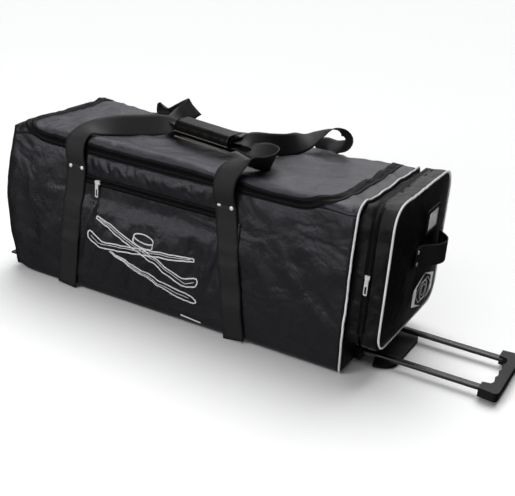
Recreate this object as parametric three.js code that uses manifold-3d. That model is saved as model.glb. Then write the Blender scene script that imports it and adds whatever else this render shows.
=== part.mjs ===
// A wheeled hockey equipment bag: a long soft bag with a zipped lid, a zipped end pocket,
// webbing carry handles, two wheels and a pull-out trolley handle.
// Millimetres. +X points to the trolley handle, -Y to the front with the flat pocket, +Z up.
// The origin is the middle of the main compartment's base.
import * as THREE from "three";
import { mergeVertices } from "three/addons/utils/BufferGeometryUtils.js";
import Module from "manifold-3d";

const wasm = await Module();
wasm.setup();

// ---- Driving dimensions --------------------------------------------------------------------

const CLEARANCE = 0.3; // between pieces that touch

// Main compartment
const BODY_LENGTH = 876;
const BODY_WIDTH = 340;
const BODY_HEIGHT = 368;
const PANEL = 4; // padded nylon wall
const BASE_RADIUS = 30; // long bottom edges
const TOP_RADIUS = 16; // long top edges
const PIPING = 5; // piping's height above the fabric

// Lid and its zipper
const END_BAND = 46; // fabric over the top between the lid's zipper and each end
const ZIPPER_DROP = 23; // zipper line below the top, on the front
const ZIPPER_TAPE = 5; // width of each half of the zipper

// Base board and what lies between it and the bottom
const BOARD_HEIGHT = 32; // underside of the board
const BOARD = 4;

// Webbing
const WEBBING = 50;
const WEBBING_THICKNESS = 2.5;
const STRAP_DROP = 63; // from the bag's top to where the strap ends and the free handle begins
const STRAP_FOOT_ANGLE = 50; // degrees round the bottom edge
const LEFT_STRAP = -228; // middle of the strap at its top
const RIGHT_STRAP = 152;
const BACK_RIGHT_STRAP = 190;
const LEFT_SPLAY = -28; // how far a strap leans outwards from its top down to the base
const RIGHT_SPLAY = 42;
const RIVET_DROP = 5; // below the strap's end
const RIVET_SPACING = 30;
const RIVET_RADIUS = 4.5;

// Flat front pocket
const FRONT_POCKET_DROP = 98; // from the bag's top to the pocket's top
const FRONT_ZIPPER = 11;

// End pocket
const POCKET_DEPTH = 75;
const POCKET_INSET = 2; // pocket's side from the bag's side
const POCKET_FLOOR = 72;
const POCKET_RISE = 8; // pocket's top above the bag's top
const POCKET_RADIUS = 45;
const POCKET_WALL = 3;
const POCKET_DOME = 11; // how far the face stands out of its piping
const GUSSET = 32; // fixed part of the pocket's side, up to its zipper
const POCKET_TAPE = 4;
const FACE_MIDDLE = 28; // middle of what is sewn on the pocket's face, along Y

// Grab handle on the end pocket
const GRAB_DROP = 134; // below the pocket's top
const GRAB_WIDTH = 46;
const GRAB_THICKNESS = 3;
const GRAB_SPAN = 132; // between the middles of its sewn ends
const GRAB_REACH = 34; // how far it bows out
const GRAB_TAB = 26;

// Trolley handle
const RAIL_WIDTH = 17;
const RAIL_HEIGHT = 9;
const RAIL_SPACING = 144;
const RAIL_LEVEL = 20; // middle of the rails above the floor
const RAIL_REACH = 279; // from the end wall to the grip, pulled out
const RAIL_OVERLAP = 104; // length of rail left in its tube, pulled out
const TUBE_LENGTH = 342.7;
const TUBE_WALL = 2;
const RAIL_FIT = 0.5; // between a rail and its tube
const GRIP_LENGTH = 194;
const GRIP_DEPTH = 28;
const GRIP_HEIGHT = 20;
const GRIP_SOCKET = 36; // length of the blocks that hold the rails
const TRAY_WIDTH = 200;
const TRAY_REACH = 88; // from the end wall
const TRAY_LEVEL = 4;
const TRAY_THICKNESS = 5;
const TRAY_RADIUS = 42;

// Wheels
const WHEEL_RADIUS = 30;
const WHEEL_WIDTH = 26;
const HUB_RADIUS = 20;
const AXLE_RADIUS = 4;
const WHEEL_SIDE = 65; // from the bag's side to the wheel's middle
const WHEEL_INSET = 20.5; // axle from the left end
const HOUSING_WALL = 4;
const WHEEL_ROOM = 3; // between the wheel's side and its housing
const WHEEL_ARCH = 4; // between the wheel's tread and its housing
const HOUSING_HEIGHT = 72;
const HOUSING_DEPTH = 60;

// Sliders and their pulls
const SLIDER_LENGTH = 13;
const SLIDER_WIDTH = 10;
const SLIDER_THICKNESS = 4;
const PULL_LENGTH = 32;
const PULL_WIDTH = 8;
const PULL_THICKNESS = 1.4;
const PULL_OVERLAP = 3; // of the pull's top over the slider's face

// Padded wrap round both carry handles
const WRAP_LENGTH = 174;
const WRAP_WIDTH = 58;
const WRAP_THICKNESS = 36;
const WRAP_TURN = -11; // degrees about Z
const WRAP_MIDDLE_X = 19.5;
const WRAP_MIDDLE_Y = -29;
const WRAP_RISE = 22; // middle of the wrap above the bag's top
const WRAP_HOLE = [51, 22];
const HANDLE_IN_WRAP = 44; // the webbing narrows inside the wrap
const HANDLE_LAYER = 5; // each handle's layer, above or below the wrap's middle

// ---- Places worked out from them -----------------------------------------------------------

const END = BODY_LENGTH / 2;
const SIDE = BODY_WIDTH / 2;
const ZIPPER_LEVEL = BODY_HEIGHT - ZIPPER_DROP;
const LID_END = END - END_BAND;
const WALL_TOP = ZIPPER_LEVEL - ZIPPER_TAPE - 2 * CLEARANCE;
const HINGE_LEVEL = ZIPPER_LEVEL + 0.35;
const ZIPPER_X = END + CLEARANCE + GUSSET + CLEARANCE;
const SHELL_START = ZIPPER_X + POCKET_TAPE + CLEARANCE;
const FACE_EDGE = END + POCKET_DEPTH;
const FACE = FACE_EDGE + POCKET_DOME;
const RAIL_Y = RAIL_SPACING / 2;
const GRIP_START = END + RAIL_REACH;
const TUBE_END = END - PANEL - CLEARANCE - 1;
const TUBE_START = TUBE_END - TUBE_LENGTH;
const TRAY_END = END + TRAY_REACH;
const STRAP_TOP = BODY_HEIGHT - STRAP_DROP;
const RIVET_HEIGHT = STRAP_TOP - RIVET_DROP;
const FRONT_POCKET_TOP = BODY_HEIGHT - FRONT_POCKET_DROP;
const POCKET_WIDTH = BODY_WIDTH - 2 * POCKET_INSET;
const POCKET_TOP = BODY_HEIGHT + POCKET_RISE;
const GRAB_HEIGHT = POCKET_TOP - GRAB_DROP;
const WRAP_MIDDLE = [WRAP_MIDDLE_X, WRAP_MIDDLE_Y, BODY_HEIGHT + WRAP_RISE];
const WHEEL_Y = SIDE - WHEEL_SIDE;
const AXLE_X = -END + WHEEL_INSET;
const HOUSING_WIDTH = WHEEL_WIDTH + 2 * WHEEL_ROOM + 2 * HOUSING_WALL;
const STRAP_OUT = SIDE + 3.6; // inner face of the straps
const STRAP_MIDDLE = STRAP_OUT + WEBBING_THICKNESS / 2;

// ---- Materials -----------------------------------------------------------------------------

const finish = (color, roughness, metalness = 0, extra = {}) =>
  new THREE.MeshStandardMaterial({ color, roughness, metalness, ...extra });

const NYLON = finish(0x1d1c20, 0.55);
const LID_NYLON = finish(0x232227, 0.5);
const WEB = finish(0x161617, 0.85);
const TAPE = finish(0x121214, 0.7);
const WHITE_PIPING = finish(0xe6e6e2, 0.4);
const NICKEL = finish(0xbfc0c2, 0.25, 1);
const BLACK_PLASTIC = finish(0x101012, 0.45);
const BOARD_PLASTIC = finish(0x2a2b2d, 0.6);
const BLACK_ALUMINIUM = finish(0x17171a, 0.35, 0.8);
const STEEL = finish(0x9a9da1, 0.3, 1);
const RUBBER = finish(0x151515, 0.9);
const CLEAR = finish(0xdfe4e6, 0.15, 0, { transparent: true, opacity: 0.35 });
const CARD = finish(0xd4d4d0, 0.8);
const PATCH = finish(0x2b2b2e, 0.7);

// ---- Shape tools ---------------------------------------------------------------------------

const object = new THREE.Group();

function add(name, geometry, material) {
  const mesh = new THREE.Mesh(geometry, material);
  mesh.name = name;
  object.add(mesh);
  return mesh;
}

// A closed geometry as a manifold solid, turned the right way out.
function solid(geometry) {
  const bare = geometry.clone();
  bare.deleteAttribute("normal");
  bare.deleteAttribute("uv");
  const merged = mergeVertices(bare, 1e-4);
  const make = (triVerts) =>
    new wasm.Manifold(
      new wasm.Mesh({ numProp: 3, vertProperties: merged.attributes.position.array, triVerts }),
    );
  const faces = new Uint32Array(merged.index.array);
  const made = make(faces);
  if (made.volume() >= 0) return made;
  for (let i = 0; i < faces.length; i += 3) [faces[i + 1], faces[i + 2]] = [faces[i + 2], faces[i + 1]];
  return make(faces);
}

function geometryOf(manifold) {
  const mesh = manifold.getMesh();
  const geometry = new THREE.BufferGeometry();
  geometry.setAttribute("position", new THREE.BufferAttribute(new Float32Array(mesh.vertProperties), 3));
  geometry.setIndex(new THREE.BufferAttribute(new Uint32Array(mesh.triVerts), 1));
  const flat = geometry.toNonIndexed();
  flat.computeVertexNormals();
  return flat;
}

const cut = (geometry, ...tools) =>
  geometryOf(tools.reduce((rest, tool) => rest.subtract(solid(tool)), solid(geometry)));

const join = (geometry, ...others) =>
  geometryOf(others.reduce((sum, other) => sum.add(solid(other)), solid(geometry)));

// A block between two corners.
function block([x0, x1], [y0, y1], [z0, z1]) {
  const geometry = new THREE.BoxGeometry(x1 - x0, y1 - y0, z1 - z0);
  return geometry.translate((x0 + x1) / 2, (y0 + y1) / 2, (z0 + z1) / 2);
}

// An outline drawn across an axis and pulled along it. Across x the outline is (y, z),
// across y it is (x, z) and across z it is (x, y).
function pulled(axis, outline, from, to, curveSegments = 5) {
  const depth = to - from;
  const geometry = new THREE.ExtrudeGeometry(outline, { depth, bevelEnabled: false, curveSegments });
  const X = new THREE.Vector3(1, 0, 0);
  const Y = new THREE.Vector3(0, 1, 0);
  const Z = new THREE.Vector3(0, 0, 1);
  const turn = new THREE.Matrix4();
  if (axis === "x") turn.makeBasis(Y, Z, X).setPosition(from, 0, 0);
  if (axis === "y") turn.makeBasis(X, Z, Y.negate()).setPosition(0, to, 0);
  if (axis === "z") turn.setPosition(0, 0, from);
  return geometry.applyMatrix4(turn);
}

// A rectangle with round corners between two corner points.
function roundedRectangle([u0, v0], [u1, v1], radius) {
  const outline = new THREE.Shape();
  outline.absarc(u1 - radius, v0 + radius, radius, -Math.PI / 2, 0);
  outline.absarc(u1 - radius, v1 - radius, radius, 0, Math.PI / 2);
  outline.absarc(u0 + radius, v1 - radius, radius, Math.PI / 2, Math.PI);
  outline.absarc(u0 + radius, v0 + radius, radius, Math.PI, 1.5 * Math.PI);
  return outline;
}

// A closed skin through rings of points, with flat ends. The rings are convex.
function lofted(rings) {
  const count = rings[0].length;
  const index = [];
  for (let ring = 0; ring < rings.length - 1; ring++)
    for (let i = 0; i < count; i++) {
      const a = ring * count + i;
      const b = ring * count + ((i + 1) % count);
      index.push(a, b, b + count, a, b + count, a + count);
    }
  const last = (rings.length - 1) * count;
  for (let i = 1; i < count - 1; i++) index.push(0, i + 1, i, last, last + i, last + i + 1);
  const geometry = new THREE.BufferGeometry();
  const points = rings.flat().flatMap((point) => point.toArray());
  geometry.setAttribute("position", new THREE.Float32BufferAttribute(points, 3));
  geometry.setIndex(index);
  return geometryOf(solid(geometry));
}

// Webbing through a list of stations: where its middle is, which way its width points,
// and how wide it is there.
function ribbon(stations, thickness, steps = 4) {
  const line = new THREE.CatmullRomCurve3(stations.map(({ at }) => new THREE.Vector3(...at)));
  const spans = stations.length - 1;
  const rings = [];
  for (let i = 0; i <= spans * steps; i++) {
    const place = i / steps;
    const index = Math.min(Math.floor(place), spans - 1);
    const share = place - index;
    const [before, after] = [stations[index], stations[index + 1]];
    const middle = line.getPoint(place / spans);
    const along = line.getTangent(place / spans);
    const across = new THREE.Vector3(...before.across).normalize();
    across.lerp(new THREE.Vector3(...after.across).normalize(), share);
    across.addScaledVector(along, -across.dot(along)).normalize();
    const width = before.width + (after.width - before.width) * share;
    const out = new THREE.Vector3().crossVectors(along, across).normalize();
    const corner = (a, b) =>
      middle
        .clone()
        .addScaledVector(across, (a * width) / 2)
        .addScaledVector(out, (b * thickness) / 2);
    rings.push([corner(1, 1), corner(-1, 1), corner(-1, -1), corner(1, -1)]);
  }
  return lofted(rings);
}

// ---- Main compartment ----------------------------------------------------------------------

// One side wall as seen from the end: upright, with a round bottom edge.
function sideWall(out, thickness, base, top) {
  const middle = SIDE - BASE_RADIUS;
  const outer = BASE_RADIUS + out;
  const outline = new THREE.Shape();
  outline.absarc(-middle, BASE_RADIUS, outer, -Math.PI / 2 - base, -Math.PI, true);
  outline.lineTo(-middle - outer, top);
  outline.lineTo(-middle - outer + thickness, top);
  outline.absarc(-middle, BASE_RADIUS, outer - thickness, Math.PI, Math.PI * 1.5 - base, false);
  return outline;
}

const mirroredToBack = (geometry) => geometryOf(solid(geometry).mirror([0, 1, 0]));

const wallEnd = END - PANEL - CLEARANCE;
const frontWall = pulled("x", sideWall(0, PANEL, 0, WALL_TOP), -wallEnd, wallEnd);
const backWall = pulled("x", sideWall(0, PANEL, 0, ZIPPER_LEVEL), -wallEnd, wallEnd);
add("front_panel", frontWall, NYLON);
add("back_panel", mirroredToBack(backWall), NYLON);

// Room that a wheel housing takes out of the pieces round it.
const housingSpan = [-END - 5, -END + HOUSING_DEPTH];
const housingRoom = (side) =>
  block(
    [housingSpan[0] - 1, housingSpan[1] + CLEARANCE],
    [side * WHEEL_Y - HOUSING_WIDTH / 2 - CLEARANCE, side * WHEEL_Y + HOUSING_WIDTH / 2 + CLEARANCE],
    [-1, HOUSING_HEIGHT + CLEARANCE],
  );

const bottomSide = SIDE - BASE_RADIUS - CLEARANCE;
const bottom = block([-wallEnd, wallEnd], [-bottomSide, bottomSide], [0, PANEL]);
add("bottom_panel", cut(bottom, housingRoom(-1), housingRoom(1)), NYLON);

const boardSide = SIDE - PANEL - 1;
const board = block(
  [-wallEnd + 1, wallEnd - 1],
  [-boardSide, boardSide],
  [BOARD_HEIGHT, BOARD_HEIGHT + BOARD],
);
add("base_board", cut(board, housingRoom(-1), housingRoom(1)), BOARD_PLASTIC);

const endOutline = () => {
  const outline = new THREE.Shape();
  outline.absarc(SIDE - BASE_RADIUS, BASE_RADIUS, BASE_RADIUS, -Math.PI / 2, 0);
  outline.absarc(SIDE - TOP_RADIUS, BODY_HEIGHT - TOP_RADIUS, TOP_RADIUS, 0, Math.PI / 2);
  outline.absarc(-SIDE + TOP_RADIUS, BODY_HEIGHT - TOP_RADIUS, TOP_RADIUS, Math.PI / 2, Math.PI);
  outline.absarc(-SIDE + BASE_RADIUS, BASE_RADIUS, BASE_RADIUS, Math.PI, Math.PI * 1.5);
  return outline;
};
const exitHalf = RAIL_Y + RAIL_WIDTH / 2 + 9;
const exitTop = RAIL_LEVEL + RAIL_HEIGHT / 2 + 7;
const leftEnd = pulled("x", endOutline(), -END, -END + PANEL);
add("left_end_panel", cut(leftEnd, housingRoom(-1), housingRoom(1)), NYLON);
const exitRoom = block(
  [END - PANEL - 1, END + 1],
  [-exitHalf - CLEARANCE, exitHalf + CLEARANCE],
  [TRAY_LEVEL - CLEARANCE, exitTop + CLEARANCE],
);
add("right_end_panel", cut(pulled("x", endOutline(), END - PANEL, END), exitRoom), NYLON);

// The top as seen from the end: over from a height on the front to a height on the back.
function arch(front, back) {
  const rim = BODY_HEIGHT - TOP_RADIUS;
  const inner = TOP_RADIUS - PANEL;
  const outline = new THREE.Shape();
  outline.moveTo(-SIDE, front);
  outline.absarc(-SIDE + TOP_RADIUS, rim, TOP_RADIUS, Math.PI, Math.PI / 2, true);
  outline.absarc(SIDE - TOP_RADIUS, rim, TOP_RADIUS, Math.PI / 2, 0, true);
  outline.lineTo(SIDE, back);
  outline.lineTo(SIDE - PANEL, back);
  outline.absarc(SIDE - TOP_RADIUS, rim, inner, 0, Math.PI / 2, false);
  outline.absarc(-SIDE + TOP_RADIUS, rim, inner, Math.PI / 2, Math.PI, false);
  outline.lineTo(-SIDE + PANEL, front);
  return outline;
}

const bandFoot = WALL_TOP + CLEARANCE;
const lidFoot = HINGE_LEVEL + 0.15;
const tapeEnd = LID_END + ZIPPER_TAPE + 2 * CLEARANCE;
for (const [name, side] of [
  ["top_band_left", -1],
  ["top_band_right", 1],
]) {
  const [near, far] = [tapeEnd + CLEARANCE, wallEnd];
  const span = side < 0 ? [-far, -near] : [near, far];
  add(name, pulled("x", arch(bandFoot, ZIPPER_LEVEL + CLEARANCE), ...span), NYLON);
}

// Each half of the lid's zipper runs along the front and over the top at both ends.
function zipperHalf(end, foot, back) {
  const tape = ZIPPER_TAPE;
  const front = block([-end, end], [-SIDE, -SIDE + PANEL], [foot, foot + tape]);
  const arches = [-end, end - tape].map((start) => pulled("x", arch(foot, back), start, start + tape));
  return join(front, ...arches);
}
add("lid_zipper_lower", zipperHalf(tapeEnd, bandFoot, ZIPPER_LEVEL + CLEARANCE), TAPE);
add("lid_zipper_upper", zipperHalf(LID_END, ZIPPER_LEVEL + CLEARANCE / 3, lidFoot), TAPE);

const lidSide = LID_END - ZIPPER_TAPE - CLEARANCE;
const lidFront = ZIPPER_LEVEL + CLEARANCE / 3 + ZIPPER_TAPE + CLEARANCE;
add("lid_panel", pulled("x", arch(lidFront, lidFoot), -lidSide, lidSide), LID_NYLON);

// Piping round an end outline: front, top and back, open along the bottom.
function pipingRing(inner, outer, from, to, floor) {
  outer.holes.push(inner);
  const ring = pulled("x", outer, from, to, 6);
  const below = block([from - 1, to + 1], [-SIDE * 2, SIDE * 2], [-50, floor]);
  return cut(ring, below);
}
const grownEnd = (by) =>
  roundedRectangle([-SIDE - by, -by], [SIDE + by, BODY_HEIGHT + by], TOP_RADIUS + by);
const bodyPiping = pipingRing(grownEnd(CLEARANCE), grownEnd(PIPING), END - PIPING, END, BASE_RADIUS);
add("body_piping", bodyPiping, WHITE_PIPING);

// ---- Straps, flat front pocket and rivets --------------------------------------------------

// A strap lies on a side wall and turns under its bottom edge, leaning as it goes down.
function strap(top, splay, toBack) {
  const foot = THREE.MathUtils.degToRad(90 - STRAP_FOOT_ANGLE);
  const outline = sideWall(STRAP_OUT - SIDE + WEBBING_THICKNESS, WEBBING_THICKNESS, foot, STRAP_TOP);
  const upright = pulled("x", outline, top - WEBBING / 2, top + WEBBING / 2);
  const places = upright.getAttribute("position");
  for (let i = 0; i < places.count; i++)
    places.setX(i, places.getX(i) + splay * (1 - places.getZ(i) / STRAP_TOP));
  return toBack ? mirroredToBack(upright) : upright;
}
add("front_strap_left", strap(LEFT_STRAP, LEFT_SPLAY, false), WEB);
add("front_strap_right", strap(RIGHT_STRAP, RIGHT_SPLAY, false), WEB);
add("back_strap_left", strap(LEFT_STRAP, LEFT_SPLAY, true), WEB);
add("back_strap_right", strap(BACK_RIGHT_STRAP, RIGHT_SPLAY, true), WEB);

const strapMiddle = (top, splay, z) => top + splay * (1 - z / STRAP_TOP);
const pocketFoot = BASE_RADIUS + 4;
const skin = [-SIDE - CLEARANCE - 3, -SIDE - CLEARANCE];
const frontPocket = new THREE.Shape();
frontPocket.moveTo(strapMiddle(LEFT_STRAP, LEFT_SPLAY, pocketFoot), pocketFoot);
frontPocket.lineTo(strapMiddle(RIGHT_STRAP, RIGHT_SPLAY, pocketFoot), pocketFoot);
frontPocket.lineTo(strapMiddle(RIGHT_STRAP, RIGHT_SPLAY, FRONT_POCKET_TOP), FRONT_POCKET_TOP);
frontPocket.lineTo(strapMiddle(LEFT_STRAP, LEFT_SPLAY, FRONT_POCKET_TOP), FRONT_POCKET_TOP);
add("front_pocket_panel", pulled("y", frontPocket, ...skin), NYLON);
const frontZipperFoot = FRONT_POCKET_TOP + CLEARANCE;
const frontZipper = block([LEFT_STRAP + 20, RIGHT_STRAP - 20], skin, [
  frontZipperFoot,
  frontZipperFoot + FRONT_ZIPPER,
]);
add("front_pocket_zipper", frontZipper, TAPE);

// A domed rivet head, its axis along Z and its flat side at z = 0.
function rivetHead() {
  const profile = [
    [0, 0],
    [RIVET_RADIUS, 0],
    [RIVET_RADIUS, 0.7],
    [RIVET_RADIUS * 0.7, 1.9],
    [0, 2.4],
  ];
  const points = profile.map(([x, y]) => new THREE.Vector2(x, y));
  return new THREE.LatheGeometry(points, 12).rotateX(Math.PI / 2);
}
for (const [name, top, splay] of [
  ["left", LEFT_STRAP, LEFT_SPLAY],
  ["right", RIGHT_STRAP, RIGHT_SPLAY],
])
  [-1, 1].forEach((side, index) => {
    const head = rivetHead().rotateX(Math.PI / 2);
    const x = strapMiddle(top, splay, RIVET_HEIGHT) + (side * RIVET_SPACING) / 2;
    const y = -STRAP_OUT - WEBBING_THICKNESS - CLEARANCE;
    add(`strap_rivet_${name}_${index + 1}`, head.translate(x, y, RIVET_HEIGHT), NICKEL);
  });

// ---- End pocket ----------------------------------------------------------------------------

const pocketOutline = (inset, radius = POCKET_RADIUS - inset) =>
  roundedRectangle(
    [-POCKET_WIDTH / 2 + inset, POCKET_FLOOR + inset],
    [POCKET_WIDTH / 2 - inset, POCKET_TOP - inset],
    radius,
  );

function pocketRing(from, to) {
  const outline = pocketOutline(0);
  outline.holes.push(pocketOutline(POCKET_WALL));
  return pulled("x", outline, from, to);
}
add("pocket_gusset", pocketRing(END + CLEARANCE, ZIPPER_X - CLEARANCE), NYLON);
const zipperOpening = block(
  [ZIPPER_X - 1, ZIPPER_X + POCKET_TAPE + 1],
  [-POCKET_WIDTH, POCKET_WIDTH],
  [0, POCKET_FLOOR + POCKET_WALL + 2],
);
add("pocket_zipper", cut(pocketRing(ZIPPER_X, ZIPPER_X + POCKET_TAPE), zipperOpening), TAPE);

// The outer half of the pocket: the rest of its side and a face that domes outwards.
function domed(inset, rear) {
  const steps = [
    [rear, 0],
    [FACE_EDGE - 4, 0],
    [FACE_EDGE, 3],
    [FACE_EDGE + POCKET_DOME * 0.6, 18],
    [FACE, 42],
  ];
  const rings = steps.map(([x, step], i) => {
    const radius = POCKET_RADIUS - inset + (i > 2 ? step * 0.4 : 0);
    const depth = i ? inset : 0;
    const points = pocketOutline(inset + step, radius).getPoints(5);
    const unique = points.filter((point, k) => k === 0 || point.distanceTo(points[k - 1]) > 0.01);
    if (unique[0].distanceTo(unique.at(-1)) < 0.01) unique.pop();
    return unique.map(({ x: y, y: z }) => new THREE.Vector3(x - depth, y, z));
  });
  return lofted(rings);
}
const pocketShell = cut(domed(0, SHELL_START), domed(POCKET_WALL, SHELL_START - 1));
add("pocket_shell", pocketShell, NYLON);
const pocketPiping = pipingRing(
  pocketOutline(-CLEARANCE),
  pocketOutline(-PIPING),
  FACE_EDGE - 4 - PIPING,
  FACE_EDGE - 4,
  POCKET_FLOOR + POCKET_RADIUS * 0.3,
);
add("pocket_piping", pocketPiping, WHITE_PIPING);

// What is sewn on the face lies flat on its middle.
const onFace = FACE + CLEARANCE;
const windowMiddle = POCKET_TOP - 70;
const windowSize = [76, 56];
const windowBorder = 8;
const windowOutline = (inset, radius) =>
  roundedRectangle(
    [FACE_MIDDLE - windowSize[0] / 2 + inset, windowMiddle - windowSize[1] / 2 + inset],
    [FACE_MIDDLE + windowSize[0] / 2 - inset, windowMiddle + windowSize[1] / 2 - inset],
    radius,
  );
const frameOutline = windowOutline(0, 6);
frameOutline.holes.push(windowOutline(windowBorder, 3));
add("window_frame", pulled("x", frameOutline, onFace, onFace + 3), WEB);
const cardOutline = windowOutline(windowBorder + CLEARANCE, 3);
add("id_card", pulled("x", cardOutline, onFace, onFace + 0.8), CARD);
add("id_window", pulled("x", cardOutline, onFace + 1.1, onFace + 2), CLEAR);

// A six-sided emblem patch, wider than it is high.
const patchMiddle = [FACE_MIDDLE + 10, POCKET_FLOOR + 70];
const patchHalf = [72, 34];
const patch = new THREE.Shape(
  [
    [-1, 0],
    [-0.55, -1],
    [0.55, -1],
    [1, 0],
    [0.55, 1],
    [-0.55, 1],
  ].map(([u, v]) => new THREE.Vector2(patchMiddle[0] + u * patchHalf[0], patchMiddle[1] + v * patchHalf[1])),
);
add("emblem_patch", pulled("x", patch, onFace, onFace + 1.2), PATCH);

// The grab handle is sewn flat at both ends and bows out between them.
const grabFlat = onFace + GRAB_THICKNESS / 2;
const grabHalf = GRAB_SPAN / 2;
const grabStation = (y, out) => ({
  at: [grabFlat + out * GRAB_REACH, FACE_MIDDLE + y, GRAB_HEIGHT],
  across: [0, 0, 1],
  width: GRAB_WIDTH,
});
const grab = ribbon(
  [
    grabStation(-grabHalf - GRAB_TAB / 2, 0),
    grabStation(-grabHalf + GRAB_TAB / 2, 0.03),
    grabStation(-grabHalf * 0.55, 0.72),
    grabStation(0, 1),
    grabStation(grabHalf * 0.55, 0.72),
    grabStation(grabHalf - GRAB_TAB / 2, 0.03),
    grabStation(grabHalf + GRAB_TAB / 2, 0),
  ],
  GRAB_THICKNESS,
);
const faceGuard = block([FACE - 60, onFace], [-SIDE, SIDE], [0, BODY_HEIGHT]);
add("grab_handle", cut(grab, faceGuard), WEB);
[-1, 1].forEach((side, index) => {
  const head = rivetHead().rotateY(Math.PI / 2);
  const x = grabFlat + GRAB_THICKNESS / 2 + CLEARANCE + 0.6;
  const place = [x, FACE_MIDDLE - grabHalf - 4, GRAB_HEIGHT + side * 13];
  add(`grab_rivet_${index + 1}`, head.translate(...place), NICKEL);
});

// ---- Trolley handle ------------------------------------------------------------------------

const railRoom = (spare) => ({
  y: RAIL_WIDTH / 2 + spare,
  z: RAIL_HEIGHT / 2 + spare,
});
const railBlock = (side, spare, span) => {
  const room = railRoom(spare);
  const middle = side * RAIL_Y;
  return block(span, [middle - room.y, middle + room.y], [RAIL_LEVEL - room.z, RAIL_LEVEL + room.z]);
};

for (const [name, side] of [
  ["front", -1],
  ["back", 1],
]) {
  const span = [TUBE_START, TUBE_END];
  const tube = cut(
    railBlock(side, RAIL_FIT + TUBE_WALL, span),
    railBlock(side, RAIL_FIT, [span[0] - 1, span[1] + 1]),
  );
  add(`trolley_tube_${name}`, tube, BLACK_ALUMINIUM);

  // A rail with rounded sides and a groove along its top and its underside.
  const [half, tall, round, groove, deep] = [RAIL_WIDTH / 2, RAIL_HEIGHT / 2, 3.5, 1.6, 0.9];
  const rail = roundedRectangle([-half, -tall], [half, tall], round);
  const start = TUBE_END - RAIL_OVERLAP;
  const shaft = pulled("x", rail, start, GRIP_START, 3).translate(0, side * RAIL_Y, RAIL_LEVEL);
  const channels = [-1, 1].flatMap((face) =>
    [-4, 4].map((y) =>
      block(
        [start - 1, GRIP_START - 12],
        [side * RAIL_Y + y - groove / 2, side * RAIL_Y + y + groove / 2],
        face < 0
          ? [RAIL_LEVEL - tall - 1, RAIL_LEVEL - tall + deep]
          : [RAIL_LEVEL + tall - deep, RAIL_LEVEL + tall + 1],
      ),
    ),
  );
  add(`trolley_rail_${name}`, cut(shaft, ...channels), BLACK_ALUMINIUM);
}

// A cross-member under the board holds the far ends of both tubes.
const anchor = block([TUBE_START - 22, TUBE_START + 20], [-exitHalf, exitHalf], [6, BOARD_HEIGHT - 1]);
const tubeSeat = (side) =>
  railBlock(side, RAIL_FIT + TUBE_WALL + CLEARANCE, [TUBE_START - CLEARANCE, TUBE_START + 21]);
add("trolley_anchor", cut(anchor, tubeSeat(-1), tubeSeat(1)), BLACK_PLASTIC);

// The exit block carries the rails through the end wall, and its tray lies under them.
const exitBlock = block([wallEnd - 0.4, END + 14], [-exitHalf, exitHalf], [TRAY_LEVEL, exitTop]);
const trayOutline = new THREE.Shape();
trayOutline.moveTo(END + CLEARANCE, -TRAY_WIDTH / 2);
const trayCorner = [TRAY_END - TRAY_RADIUS, TRAY_WIDTH / 2 - TRAY_RADIUS];
trayOutline.absarc(trayCorner[0], -trayCorner[1], TRAY_RADIUS, -Math.PI / 2, 0);
trayOutline.absarc(trayCorner[0], trayCorner[1], TRAY_RADIUS, 0, Math.PI / 2);
trayOutline.lineTo(END + CLEARANCE, TRAY_WIDTH / 2);
const tray = pulled("z", trayOutline, TRAY_LEVEL, TRAY_LEVEL + TRAY_THICKNESS);
const exitBores = [-1, 1].map((side) => railBlock(side, RAIL_FIT, [wallEnd - 5, END + 20]));
add("handle_tray", cut(join(exitBlock, tray), ...exitBores), BLACK_PLASTIC);

// The grip: a bar with finger grooves inside and a block at each end that holds a rail.
const gripEnd = GRIP_LENGTH / 2;
const gripInner = GRIP_START + 1;
const gripOuter = gripInner + GRIP_DEPTH;
const blockStart = gripInner - 13;
const gripOutline = new THREE.Shape();
gripOutline.moveTo(blockStart, -gripEnd + 4);
gripOutline.lineTo(gripOuter - 9, -gripEnd);
gripOutline.quadraticCurveTo(gripOuter, -gripEnd, gripOuter, -gripEnd + 14);
gripOutline.lineTo(gripOuter, gripEnd - 14);
gripOutline.quadraticCurveTo(gripOuter, gripEnd, gripOuter - 9, gripEnd);
gripOutline.lineTo(blockStart, gripEnd - 4);
const fingersEnd = gripEnd - GRIP_SOCKET;
gripOutline.lineTo(blockStart, fingersEnd + 4);
gripOutline.lineTo(gripInner + 4, fingersEnd);
const fingerPitch = (2 * fingersEnd) / 4;
for (let finger = 0; finger < 4; finger++) {
  const from = fingersEnd - finger * fingerPitch;
  const middle = from - fingerPitch / 2;
  gripOutline.quadraticCurveTo(gripInner + 12, middle, gripInner + 4, from - fingerPitch);
}
gripOutline.lineTo(blockStart, -fingersEnd - 4);
const gripBar = pulled("z", gripOutline, RAIL_LEVEL - GRIP_HEIGHT / 2, RAIL_LEVEL + GRIP_HEIGHT / 2);
const gripBores = [-1, 1].map((side) => railBlock(side, CLEARANCE, [blockStart - 1, GRIP_START + CLEARANCE]));
add("trolley_grip", cut(gripBar, ...gripBores), BLACK_PLASTIC);

// ---- Wheels --------------------------------------------------------------------------------

// A ring or disc about an axis along Y, from its profile of radius and offset along the axis.
const turned = (profile, segments = 28) =>
  new THREE.LatheGeometry(
    profile.map(([radius, offset]) => new THREE.Vector2(radius, offset)),
    segments,
  );

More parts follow.
